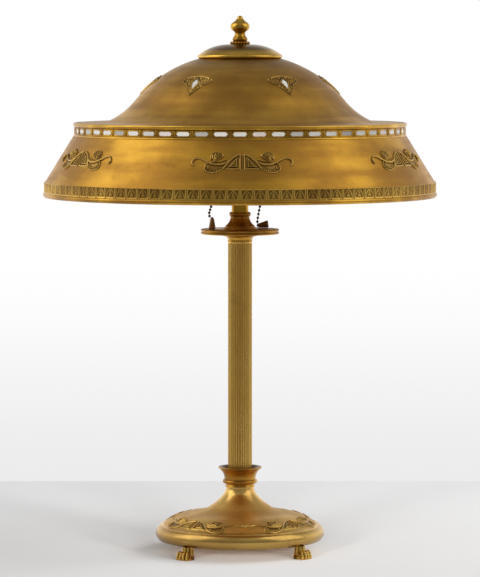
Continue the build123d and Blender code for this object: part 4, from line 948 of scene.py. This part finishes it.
cornice_z = GALLERY_Z[1] - CORNICE_HEIGHT
foot_bead_top = GALLERY_Z[0] + FOOT_BEAD_HEIGHT
window_z = (cornice_z + foot_bead_top) / 2
gallery_inner = GALLERY_R - GALLERY_WALL
ledge_top = SHELF_Z - SHEET
cell_width = math.tau * GALLERY_R / WINDOW_COUNT
wall_half = (cornice_z - foot_bead_top) / 2


def six_corners(half, side, high, depth):
    """A hexagon with its points at half, level sides that end at side, and a half-height."""
    corners = [(half, 0), (side, high), (-side, high), (-half, 0), (-side, -high), (side, -high)]
    return [(x, depth, z) for x, z in corners]


def window_loop(gap, depth):
    """The edge of a window, grown by a gap, at a depth from the wall's face."""
    half = WINDOW_LENGTH / 2
    return six_corners(half + gap * 1.2, half - WINDOW_POINT + gap * 0.5, WINDOW_HEIGHT / 2 + gap, depth)


def wrap_on_gallery(mesh):
    """Cuts a flat strip, drawn in X and Z with its depth in Y, and bends it round the gallery's front."""
    long_edges = [edge for edge in mesh.edges if abs(edge.verts[0].co.x - edge.verts[1].co.x) > STRIP_LENGTH]
    bmesh.ops.subdivide_edges(mesh, edges=long_edges, cuts=3, use_grid_fill=True)
    for vert in mesh.verts:
        turn = vert.co.x / GALLERY_R
        radius = GALLERY_R + vert.co.y
        vert.co = (radius * math.sin(turn), -radius * math.cos(turn), window_z + vert.co.z)


def wall_loop(depth):
    """The edge of one window's share of the wall, in six points that meet the window's corners."""
    return six_corners(cell_width / 2, cell_width / 2, wall_half, depth)


def gallery_cell():
    """Wall round one window, from its inner face through the reveal and the frame to its outer face."""
    mesh = bmesh.new()
    loops = [wall_loop(-GALLERY_WALL), window_loop(0, -GALLERY_WALL)]
    loops += [window_loop(gap, height) for gap, height in WINDOW_FRAME]
    loops.append(wall_loop(0.0))
    verts = [mesh.verts.new(point) for point in loops[0]]
    edges = [mesh.edges.new((verts[i], verts[(i + 1) % 6])) for i in range(6)]
    for loop in loops[1:]:
        grown = bmesh.ops.extrude_edge_only(mesh, edges=edges)["geom"]
        edges = [part for part in grown if isinstance(part, bmesh.types.BMEdge)]
        for i, old in enumerate(verts):
            new = next(edge.other_vert(old) for edge in old.link_edges if edge.other_vert(old) in grown)
            new.co = loop[i]
            verts[i] = new
    wrap_on_gallery(mesh)
    return mesh


cells = ring_of(gallery_cell(), WINDOW_COUNT)
bmesh.ops.remove_doubles(cells, verts=cells.verts, dist=0.01)
bmesh.ops.recalc_face_normals(cells, faces=cells.faces)
cornice_edge = (GALLERY_R + CORNICE_PROUD / 2, GALLERY_Z[1])
cornice_middle = (GALLERY_R + CORNICE_PROUD, GALLERY_Z[1] - CORNICE_HEIGHT / 2)
foot_bead_r = GALLERY_R + FOOT_BEAD_PROUD
foot_bead_edge = (foot_bead_r, GALLERY_Z[0] + FOOT_BEAD_HEIGHT / 3)
band_outline = [
    (GALLERY_R, cornice_z),
    *arc((GALLERY_R, cornice_z), cornice_middle, cornice_edge, 14),
    (gallery_inner, GALLERY_Z[1]), (gallery_inner, ledge_top), (gallery_inner - LEDGE_WIDTH, ledge_top),
    (gallery_inner - LEDGE_WIDTH, ledge_top - LEDGE_THICK), (gallery_inner, ledge_top - LEDGE_THICK),
    (gallery_inner, cornice_z),
]
foot_outline = [
    (gallery_inner, foot_bead_top), (gallery_inner, GALLERY_Z[0]),
    *eased([(gallery_inner, GALLERY_Z[0]), (foot_bead_r, GALLERY_Z[0]), foot_bead_edge], 0.4),
    *tangent_arc(foot_bead_edge, (0, 1), (GALLERY_R, foot_bead_top), 8),
]


def merged(*meshes):
    """Several meshes in one."""
    whole = meshes[0]
    for mesh in meshes[1:]:
        data = bpy.data.meshes.new("part")
        mesh.to_mesh(data)
        mesh.free()
        whole.from_mesh(data)
        bpy.data.meshes.remove(data)
    return whole


def gallery_ribs():
    """A pair of upright ribs over the joint of two cells."""
    mesh = bmesh.new()
    size = Matrix.Diagonal((*RIB_SIZE, 2 * wall_half - RIB_SHORTER, 1))
    for x in (-RIB_OFFSET, RIB_OFFSET):
        bmesh.ops.create_cube(mesh, size=1, matrix=Matrix.Translation((cell_width / 2 + x, 0, 0)) @ size)
    bmesh.ops.bevel(
        mesh, geom=mesh.edges, offset=RIB_BEVEL, offset_type="OFFSET", segments=2, profile=0.5,
        affect="EDGES", material=-1,
    )
    wrap_on_gallery(mesh)
    return mesh


gallery_gilt = gilt(
    "gallery_gilt", (0.90, 0.54, 0.07), (0.66, 0.36, 0.05), (0.40, 0.20, 0.035), 0.24, relief=0.9
)
gallery = merged(
    cells, ring_of(gallery_ribs(), WINDOW_COUNT), turned(band_outline, DOME_STEPS),
    turned(foot_outline, DOME_STEPS),
)
recess = gallery.verts.layers.float.new("relief")
# Painted shade in the windows' reveals and in a thin line under the cornice, with the proud frames a little
# lighter as a painted highlight.
for vert in gallery.verts:
    proud = radius_of(vert) - GALLERY_R
    under_cornice = abs(vert.co.z - cornice_z) < 0.1
    vert[recess] = CORNICE_SHADE if under_cornice else min(max(WALL_RELIEF + 2 * proud, 0), PROUD_RELIEF)
add_piece("gallery", gallery, gallery_gilt, "shade", "gilt_bronze", "gallery_band")


def shell_plate():
    """One six-sided shell, a little domed, behind its window."""
    mesh = bmesh.new()
    edge = window_loop(SHELL_GAP, SHELL_FACE - SHELL_DOMING)
    face = mesh.faces.new([mesh.verts.new(point) for point in edge])
    bmesh.ops.inset_region(mesh, faces=[face], thickness=SHELL_EDGE, depth=0.0)
    bmesh.ops.translate(mesh, vec=(0, SHELL_DOMING, 0), verts=face.verts)
    bmesh.ops.solidify(mesh, geom=mesh.faces[:], thickness=SHELL_THICK)
    wrap_on_gallery(mesh)
    bmesh.ops.recalc_face_normals(mesh, faces=mesh.faces)
    return mesh


shell_plates = ring_of(shell_plate(), WINDOW_COUNT)
plate_cast = shell_plates.verts.layers.float.new("cast")
for vert in shell_plates.verts:
    number = round(angle_of(vert) / math.tau * WINDOW_COUNT)
    vert[plate_cast] = number * SHELL_CAST_STEP % 1
gallery_shell = add_piece("gallery_shell", shell_plates, pearl, "shade", "shell", "gallery_inlays")


# Skirt: a cone of thin sheet, burnished and gilded, soldered to the gallery above and to the rim band below.
# Its gilding has worn in level streaks.
SKIRT_TOP = (188.7, heights_of("shade_skirt")[1])
SKIRT_FOOT = (220.6, heights_of("shade_skirt")[0])

skirt_lean = math.atan2(SKIRT_FOOT[0] - SKIRT_TOP[0], SKIRT_TOP[1] - SKIRT_FOOT[1])
skirt_wall = SHEET / math.cos(skirt_lean)
skirt_outline = [
    SKIRT_FOOT, SKIRT_TOP, (SKIRT_TOP[0] - skirt_wall, SKIRT_TOP[1]),
    (SKIRT_FOOT[0] - skirt_wall, SKIRT_FOOT[1]), SKIRT_FOOT,
]
skirt_gilt = gilt(
    "skirt_gilt", (0.76, 0.42, 0.05), (0.56, 0.285, 0.038), (0.41, 0.20, 0.034), 0.35, streak=(9, 9, 60)
)
add_piece("cone_skirt", turned(skirt_outline, DOME_STEPS), skirt_gilt, "shade", "gilt_bronze", "shade_skirt")


# Scroll castings: six applied bronze reliefs on the skirt, each a fret in a gable with a leaf, a beaded
# crescent and a curled tendril on either side. They are riveted on and darker than the sheet, with painted
# shade in their hollows, and rubbed bright on the high places, with a painted highlight.
SCROLL_COUNT = 6
SCROLL_TURN = 0.7
SCROLL_ABOVE = 2.1
SCROLL_HALF = (58.0, 15.0)      # of the grid that the relief is drawn on
GABLE = [(3.4, 10.0), (9.0, 6.6), (14.2, 1.6), (20.2, -7.0)]
GABLE_TOP = 10.4
GABLE_FOOT = [(19.4, -9.0), (-1, -9.0)]
GABLE_POST = [(2.3, 9.8), (2.3, -8.2)]
GABLE_SILL = [(2.3, -7.6), (17.8, -7.6)]
FRET = [(6.3, 5.0), (6.3, -4.7), (13.4, -4.7), (6.3, 5.0)]
FRET_HEART = [(8.1, 0.0), (8.1, -2.9), (10.4, -2.9)]
CRESCENT_EDGE = [
    (20.2, -7.0), (25.8, -11.0), (31.6, -12.4), (36.8, -11.2), (40.2, -8.0), (39.8, -4.0), (37.6, -1.0),
]
CRESCENT_BACK = [(28.6, -2.4), (20.0, -2.0)]
CRESCENT_LINE = [(37.0, -3.4), (35.8, -7.2), (32.0, -9.4), (27.6, -8.8), (22.8, -5.8)]
CRESCENT_BEADS = [(38.5, -6.0), (36.2, -9.4), (31.8, -10.9), (27.2, -10.1), (23.6, -8.0)]
LEAF_EDGE = [
    (31.2, 0.2), (34.8, 5.2), (33.6, 10.4), (28.8, 12.6), (23.8, 11.2), (20.4, 8.8), (22.6, 5.8),
    (27.0, 3.4),
]
LEAF_RIBS = [(32.6, 8.8), (29.4, 10.8), (26.4, 10.4), (23.8, 9.2)]
LEAF_ROOT = (30.6, 1.4)
LEAF_RIB_BEND = (0.9, 0.5)
TENDRIL = [
    (16.8, 0.0), (22.0, -2.0), (28.6, -2.4), (34.8, -0.8), (41.0, 2.6), (46.6, 5.2), (51.2, 5.0),
    (54.4, 1.8), (54.6, -1.6), (53.2, -3.0),
]
STALK = [(17.6, 3.2), (22.6, 1.6), (27.6, 0.6), (31.6, 0.4)]
CURL_ENDS = [(21.2, 8.7), (53.4, -2.7)]
MIDDLE_GAP = 1.1        # half-width of the plain strip between the two sides
MIDDLE_HEIGHT = 0.3

scroll_z = (SKIRT_TOP[1] + SKIRT_FOOT[1]) / 2 + SCROLL_ABOVE
scroll_r = SKIRT_TOP[0] + (SKIRT_TOP[1] - scroll_z) * math.tan(skirt_lean)


def on_skirt(u, v, height):
    """Point on the front of the skirt, above the casting's middle by v and off the sheet by a height."""
    radius = scroll_r - v * math.sin(skirt_lean) + height * math.cos(skirt_lean)
    turn = u / scroll_r
    z = scroll_z + v * math.cos(skirt_lean) + height * math.sin(skirt_lean)
    return radius * math.sin(turn), -radius * math.cos(turn), z


def scroll_height(u, v):
    """Relief of a scroll casting, the same on both sides of its middle line."""
    side = np.abs(u)
    gable = flow(*GABLE)
    edge = flow(*CRESCENT_EDGE)
    leaf = flow(*LEAF_EDGE, LEAF_EDGE[0])
    grounds = [
        plate(side, v, [(-1, GABLE_TOP), *gable, *GABLE_FOOT], height=0.45, ease=0.6),
        plate(side, v, [*edge, *CRESCENT_BACK], height=0.6, ease=0.7),
        plate(side, v, leaf, height=0.9, ease=0.8),
        plate(side, v, FRET_HEART, height=1.2, ease=0.6),
    ]
    strips = [
        ridge(side, v, GABLE_POST, width=2.0, height=1.6),
        ridge(side, v, GABLE_SILL, width=2.0, height=1.5),
        ridge(side, v, gable, width=2.4, height=2.0),
        ridge(side, v, FRET, width=1.6, height=1.5),
        ridge(side, v, edge, width=1.7, height=1.7),
        ridge(side, v, flow(*CRESCENT_LINE), width=1.4, height=1.6),
        ridge(side, v, leaf, width=1.3, height=1.7),
        ridge(side, v, flow(*TENDRIL), width=3.4, height=2.4, far_share=0.6),
        ridge(side, v, flow(*STALK), width=1.8, height=1.8, far_share=0.7),
        bosses(side, v, flow(*CRESCENT_BEADS, steps=2), radius=0.95, height=1.9),
        bosses(side, v, CURL_ENDS, radius=1.6, height=2.2),
    ]
    for tip in LEAF_RIBS:
        bend = [(end + root) / 2 + off for end, root, off in zip(tip, LEAF_ROOT, LEAF_RIB_BEND)]
        strips.append(ridge(side, v, flow(tip, bend, LEAF_ROOT), width=1.7, height=1.9, far_share=0.6))
    middle = np.minimum(grounds[0], MIDDLE_HEIGHT)
    return np.where(side < MIDDLE_GAP, middle, np.maximum.reduce([*grounds, *strips]))


relief_bronze = gilt(
    "relief_bronze", (0.86, 0.55, 0.13), (0.48, 0.26, 0.05), (0.32, 0.16, 0.035), 0.3, relief=0.97
)
scrolls = ring_of(casting(scroll_height, *SCROLL_HALF, on_skirt), SCROLL_COUNT, SCROLL_TURN)
add_piece("scroll_castings", scrolls, relief_bronze, "shade", "relief_bronze", "scroll_mounts")


# Base ornament: the same scroll motif, cast in low relief round the slope of the base, with a fine line
# and a small crest between each two.
BASE_SCROLL_COUNT = 4
BASE_SCROLL_R = 79.0
BASE_SCROLL_HALF = (62.0, 13.5)
BASE_SCROLL_SQUASH = 0.74       # height against width, and against the height of the skirt's castings
BASE_SCROLL_DEPTH = 0.75
BASE_TENDRIL = [(44.0, 4.1), (49.0, 4.8), (54.0, 3.0), (58.0, 2.0), (62.0, 2.0)]
BASE_CREST = [BASE_TENDRIL[-1], (60.2, 4.4)]
BASE_TURN = 49.0

(slope_x, slope_z), slope_r = circle_through(BASE_SLOPE_START, BASE_SLOPE_MIDDLE, BASE_SHOULDER)


def on_base(u, v, height):
    """Point on the front of the base's slope, in from the ornament's ring by v and above it by a height."""
    radius = BASE_SCROLL_R - v * BASE_SCROLL_SQUASH
    turn = u / BASE_SCROLL_R
    z = slope_z + math.sqrt(slope_r ** 2 - (radius - slope_x) ** 2)
    return radius * math.sin(turn), -radius * math.cos(turn), z + height


def base_scroll_height(u, v):
    """The scroll motif in low relief, with half of a crest and its line at either end."""
    side = np.abs(u)
    scroll = np.where(side < BASE_TENDRIL[0][0], scroll_height(u, v), 0)
    line = ridge(side, v, flow(*BASE_TENDRIL), width=2.0, height=1.8, far_share=0.6)
    crest = bosses(side, v, BASE_CREST, radius=1.7, height=2.2)
    return np.maximum.reduce([scroll, line, crest]) * BASE_SCROLL_DEPTH


base_relief = gilt(
    "base_relief", (0.88, 0.55, 0.13), (0.44, 0.25, 0.06), (0.28, 0.145, 0.035), 0.32, relief=0.97
)
base_scrolls = ring_of(casting(base_scroll_height, *BASE_SCROLL_HALF, on_base), BASE_SCROLL_COUNT, BASE_TURN)
add_piece("base_scrolls", base_scrolls, base_relief, "stand", "relief_bronze")


# Rim: an upright band of leaf panels soldered round the foot of the skirt, over a rolled wire edge that is
# the lowest line of the shade.
RIM_R = reach_of("rim_band")
RIM_WALL = 2.5
RIM_Z = heights_of("rim_band")
LEAF_COUNT = 96
LEAF_COLUMNS = 24
LEAF_ROWS = 16
LEAF_DEPTH = 0.75
PANEL_STILE = (0.80, 0.93)      # where a panel's upright edge starts and ends, as a share of its half-width
PANEL_GROOVE = 0.3              # height of the groove between two panels, as a share of the depth
PANEL_RAILS = (0.1, 0.94)       # top of the lower rail and foot of the upper, as shares of the height
RAIL_HEIGHT = 0.9
PANEL_GROUND = 0.34
ARCH = (0.70, 0.06, 0.84, 2.2)  # a leaf's half-width, foot and height, and the power it closes with
ARCH_LINE = 0.15
BLADE = (0.40, 0.72)            # spread and top of the leaf's blade
BLADE_LINE = 0.12
BLADE_HEIGHT = 0.9
DROP = (0.3, 0.2)               # height of the drop at the leaf's heart, and its size
DROP_SQUASH = 0.9
BEAD_R = 3.0
BEAD_RING_R = 220.0
BEAD_SEAT = 0.5


def leaf_height(across, up):
    """Relief of one panel, from 0 to 1: across runs from -1 to 1 and up from 0 to 1."""
    side = abs(across)
    if side > PANEL_STILE[0]:
        return 1.0 if side < PANEL_STILE[1] else PANEL_GROOVE
    if up < PANEL_RAILS[0] or up > PANEL_RAILS[1]:
        return RAIL_HEIGHT
    half_width, foot, tall, power = ARCH
    arch = half_width * max(0, 1 - ((up - foot) / tall) ** power)
    border = 1 - abs(side - arch) / ARCH_LINE
    spread, blade_top = BLADE
    blade = 1 - abs(side - spread * (blade_top - up)) / BLADE_LINE if up < blade_top else 0.0
    drop = 1 - math.hypot(side, (up - DROP[0]) * DROP_SQUASH) / DROP[1]
    return max(PANEL_GROUND, border, BLADE_HEIGHT * blade, drop)


rim_face = [RIM_Z[0] + (RIM_Z[1] - RIM_Z[0]) * i / LEAF_ROWS for i in range(LEAF_ROWS + 1)]
rim_outline = bored(RIM_R - RIM_WALL, *((RIM_R, z) for z in rim_face))
rim = turned(rim_outline, LEAF_COUNT * LEAF_COLUMNS)
leaf_relief = rim.verts.layers.float.new("relief")
# Painted shade in the panels' ground and the grooves between them, with the stiles, rails and leaf lines
# left lighter.
for vert in rim.verts:
    vert[leaf_relief] = 1.0
    if radius_of(vert) > RIM_R - 0.1:
        share = (angle_of(vert) / math.tau * LEAF_COUNT) % 1
        height = leaf_height(2 * share - 1, (vert.co.z - RIM_Z[0]) / (RIM_Z[1] - RIM_Z[0]))
        vert[leaf_relief] = height
        draw_out(vert, -LEAF_DEPTH * (1 - height) / radius_of(vert))
rim_gilt = gilt("rim_gilt", (0.92, 0.58, 0.12), (0.66, 0.38, 0.07), (0.42, 0.22, 0.045), 0.3, relief=0.85)
add_piece("leaf_rim", rim, rim_gilt, "shade", "gilt_bronze", "rim_band")

bead_flat = math.sqrt(BEAD_R ** 2 - (BEAD_R - BEAD_SEAT) ** 2)
bead_low = (BEAD_RING_R, RIM_Z[0] + BEAD_SEAT - 2 * BEAD_R)
bead_outline = [
    *arc((BEAD_RING_R + bead_flat, RIM_Z[0]), bead_low, (BEAD_RING_R - bead_flat, RIM_Z[0]), 22),
    (BEAD_RING_R + bead_flat, RIM_Z[0]),
]
bead_gilt = gilt("bead_gilt", (0.76, 0.43, 0.06), (0.56, 0.29, 0.04), (0.36, 0.175, 0.03), 0.3)
add_piece("rolled_bead", turned(bead_outline, DOME_STEPS), bead_gilt, "shade", "gilt_bronze", "rim_bead")


# Heat cap and finial: a low, bright spun cap, darker on its flat top than lower down, is held down by a
# scalloped washer and a turned finial that screws on the riser's stud.
CAP_LOW, CAP_TOP = heights_of("heat_cap")
CAP_R = reach_of("heat_cap")
CAP_TOP_R = 12.5
CAP_EDGE = (46.6, CAP_TOP - 11.6)
CAP_BROWN = 0.26        # relief of the flat top, where it is brownest
CAP_CLEARER = 0.46      # gained over the heights below the top that follow
CAP_CLEAR_FROM = 5.0
CAP_CLEAR_OVER = 5.0
STUD_R = 3.3
FINIAL_Z, FINIAL_TOP = heights_of("finial")
FINIAL_RING_R = 8.5
FINIAL_RING_HEIGHT = 5.2
FINIAL_SIDE = [
    (5.8, 8.4), (6.7, 11.0), (9.6, 13.4), (10.8, 16.7), (9.8, 20.2), (6.2, 23.2), (3.7, 25.7), (2.7, 28.2),
]
WASHER_R = reach_of("finial_washer")
SCALLOPS = 16
SCALLOP_DEPTH = 0.8

cap_inner = (CAP_EDGE[0] - SHEET, CAP_EDGE[1] - SHEET)
cap_outline = bored(
    STUD_R, *tangent_arc((CAP_TOP_R, CAP_TOP), (1, 0), CAP_EDGE, 20),
    *arc(CAP_EDGE, (CAP_R, (CAP_LOW + CAP_EDGE[1]) / 2), (CAP_EDGE[0], CAP_LOW), 10),
    (cap_inner[0], CAP_LOW), cap_inner,
    *tangent_arc((CAP_TOP_R, CAP_TOP - SHEET), (1, 0), cap_inner, 20)[::-1],
)
cap_gilt = gilt(
    "cap_gilt", (0.94, 0.60, 0.10), (0.78, 0.46, 0.07), (0.52, 0.27, 0.04), 0.22, streak=(8, 8, 80),
    relief=0.9,
)
cap = turned(cap_outline)
cap_darkening = cap.verts.layers.float.new("relief")
# Darker on the flat top, lighter on the steep edge below it.
for vert in cap.verts:
    share = (CAP_TOP - CAP_CLEAR_FROM - vert.co.z) / CAP_CLEAR_OVER
    vert[cap_darkening] = CAP_BROWN + CAP_CLEARER * min(max(share, 0), 1)
add_piece("heat_cap_dome", cap, cap_gilt, "shade", "bright_gilt", "heat_cap")

washer_edge = (WASHER_R, (CAP_TOP + FINIAL_Z) / 2)
washer_outline = bored(
    STUD_R, *arc((FINIAL_RING_R, CAP_TOP), washer_edge, (FINIAL_RING_R, FINIAL_Z), 10),
)
washer = turned(washer_outline, SCALLOPS * 8)
for vert in washer.verts:
    radius = radius_of(vert)
    if radius > FINIAL_RING_R:
        notch = SCALLOP_DEPTH * (radius - FINIAL_RING_R) / (WASHER_R - FINIAL_RING_R)
        draw_out(vert, -notch * (1 - abs(math.cos(SCALLOPS / 2 * angle_of(vert)))) / radius)
finial_gilt = gilt("finial_gilt", (0.88, 0.54, 0.08), (0.62, 0.34, 0.045), (0.32, 0.145, 0.015), 0.15)
add_piece("scalloped_washer", washer, finial_gilt, "finial_knob", "bright_gilt", "finial_washer")

ring_foot = (FINIAL_RING_R - FINIAL_RING_HEIGHT / 4, FINIAL_Z)
ring_head = (ring_foot[0], FINIAL_Z + FINIAL_RING_HEIGHT)
finial_outline = [
    (0, FINIAL_Z),
    *arc(ring_foot, (FINIAL_RING_R, FINIAL_Z + FINIAL_RING_HEIGHT / 2), ring_head, 12),
    *flow(ring_head, *((radius, FINIAL_Z + rise) for radius, rise in FINIAL_SIDE), (0, FINIAL_TOP - 0.05)),
]
add_piece("turned_finial", turned(finial_outline, 96), finial_gilt, "finial_knob", "bright_gilt", "finial")


# Studio: a pale table top before a white backdrop. A tall soft light on either side shows in the gilding,
# with dark air in front and above, so that its form is seen. A key light brightens what isn't metal, and far
# lights that reach only the table or only the shell even those out.
CAMERA_AT = (0.0, -3.967, 0.5756)
CAMERA_TILT = 3.9634
CAMERA_LENS = 218.37
CAMERA_SENSOR = 36.0
CAMERA_SIGHT = 100.0
TABLE_BACK = 0.645
TABLE_FRONT = 0.75
TABLE_HALF_WIDTH = 1.1
SOFT_LIGHT_DISTANCE = 2.2
SOFT_LIGHTS = [(-82, 32, 1.8, 2.4, 16.5), (75, 32, 1.8, 2.4, 12.0)]     # turn, lift, width, height, power
FLOOR_LIGHTS = [    # turn, lift, spread and power
    (-24, 10, 12, 1.9), (-4, 10, 12, 1.9), (16, 10, 12, 1.9), (36, 10, 12, 1.9), (75, 42, 40, 0.8),
]
FILL_LIGHTS = [(-30, 24, 60, 1.8), (150, 24, 60, 1.8)]
KEY_LIGHT = (0.9, 0.35, 0.9)
KEY_SIZE = 0.5
KEY_POWER = 3.5
LIGHT_AIM = Vector((0, 0, 0.35))
TABLE_GREYS = (0.80, 0.84)
BACKDROP_GREYS = (0.84, 1.0)    # below the table's edge and above it
BEHIND_GREYS = (1.0, 0.28)      # that metal mirrors from behind the lamp, low down and overhead
FRONT_GREYS = (0.22, 0.36)
AMBIENT_GREYS = [0.22] * 3

scene = bpy.context.scene
scene.view_settings.view_transform = "Standard"
camera = new_object("camera", bpy.data.cameras.new("camera"))
camera.data.lens = CAMERA_LENS
camera.data.sensor_width = CAMERA_SENSOR
camera.data.clip_end = CAMERA_SIGHT
camera.location = CAMERA_AT
camera.rotation_euler = (math.radians(90 - CAMERA_TILT), 0, 0)
scene.camera = camera


def greys(share, levels):
    """From one grey to another."""
    return share.mix(*([level] * 3 for level in levels))


table_material, table_start, table_place = new_material("pale_table")
paper = greys(table_place.noise((6, 6, 6), detail=3), TABLE_GREYS)
close_material(table_start, base_color=paper, roughness=0.9, specular_ior_level=0.0)
table = bmesh.new()
middle = Matrix.Translation((0, (TABLE_BACK - TABLE_FRONT) / 2, 0))
size = Matrix.Diagonal((TABLE_HALF_WIDTH, (TABLE_BACK + TABLE_FRONT) / 2, 1, 1))
bmesh.ops.create_grid(table, x_segments=1, y_segments=1, size=1, matrix=middle @ size)
table_data = bpy.data.meshes.new("table")
table.to_mesh(table_data)
table.free()
table_data.materials.append(table_material)
table_top = new_object("table", table_data)


def add_light(name, place, width, height, power):
    """A soft rectangular light that looks at the lamp."""
    light = bpy.data.lights.new(name, "AREA")
    light.shape = "RECTANGLE"
    light.size = width
    light.size_y = height
    light.energy = power
    holder = new_object(name, light)
    holder.location = place
    holder.rotation_euler = (Vector(place) - LIGHT_AIM).to_track_quat("Z", "Y").to_euler()
    return holder


def heading_from(azimuth, lift):
    """Unit vector towards an azimuth, in degrees to the right of the front, and a height above the table."""
    turn, rise = math.radians(azimuth), math.radians(lift)
    return Vector((math.sin(turn) * math.cos(rise), -math.cos(turn) * math.cos(rise), math.sin(rise)))


def add_far_light(name, azimuth, lift, spread, power):
    """An even light from far off, as wide as its spread in degrees."""
    light = bpy.data.lights.new(name, "SUN")
    light.energy = power
    light.angle = math.radians(spread)
    holder = new_object(name, light)
    holder.rotation_euler = heading_from(azimuth, lift).to_track_quat("Z", "Y").to_euler()
    return holder


for azimuth, lift, width, height, power in SOFT_LIGHTS:
    place = LIGHT_AIM + heading_from(azimuth, lift) * SOFT_LIGHT_DISTANCE
    add_light("soft_light", place, width, height, power).visible_diffuse = False
add_light("key_light", KEY_LIGHT, KEY_SIZE, KEY_SIZE, KEY_POWER).visible_glossy = False
table_only = bpy.data.collections.new("table_only")
table_only.objects.link(table_top)
for settings in FLOOR_LIGHTS:
    add_far_light("floor_light", *settings).light_linking.receiver_collection = table_only
shell_only = bpy.data.collections.new("shell_only")
for piece in (shield_shell, gallery_shell):
    shell_only.objects.link(piece)
for settings in FILL_LIGHTS:
    fill_light = add_far_light("fill_light", *settings)
    fill_light.visible_glossy = False
    fill_light.light_linking.receiver_collection = shell_only

world = bpy.data.worlds.new("studio")
world.use_nodes = True
world.node_tree.nodes.clear()
air = Tone(world.node_tree)
heading = air.node("TexCoord", {}, {}, output="Generated")
forward = air.node("SeparateXYZ", {}, {"Vector": heading}, output="Y")
upward = air.node("SeparateXYZ", {}, {"Vector": heading}, output="Z")
backdrop = greys(upward.fade(-0.125, -0.058), BACKDROP_GREYS)
behind = greys(upward.fade(0.12, 0.75), BEHIND_GREYS)
front = greys(upward.fade(0.1, 0.8), FRONT_GREYS)
surround = forward.fade(-0.1, 0.5).mix(front, behind)
seen = air.node("LightPath", {}, {}, output="Is Camera Ray")
mirrored = air.node("LightPath", {}, {}, output="Is Glossy Ray")
passed = air.node("LightPath", {}, {}, output="Is Transmission Ray")
ambient = (mirrored + passed).mix(AMBIENT_GREYS, surround)
background = air.node("Background", {}, {"Color": seen.mix(ambient, backdrop), "Strength": 1.0})
air.node("OutputWorld", {}, {"Surface": background})
scene.world = world
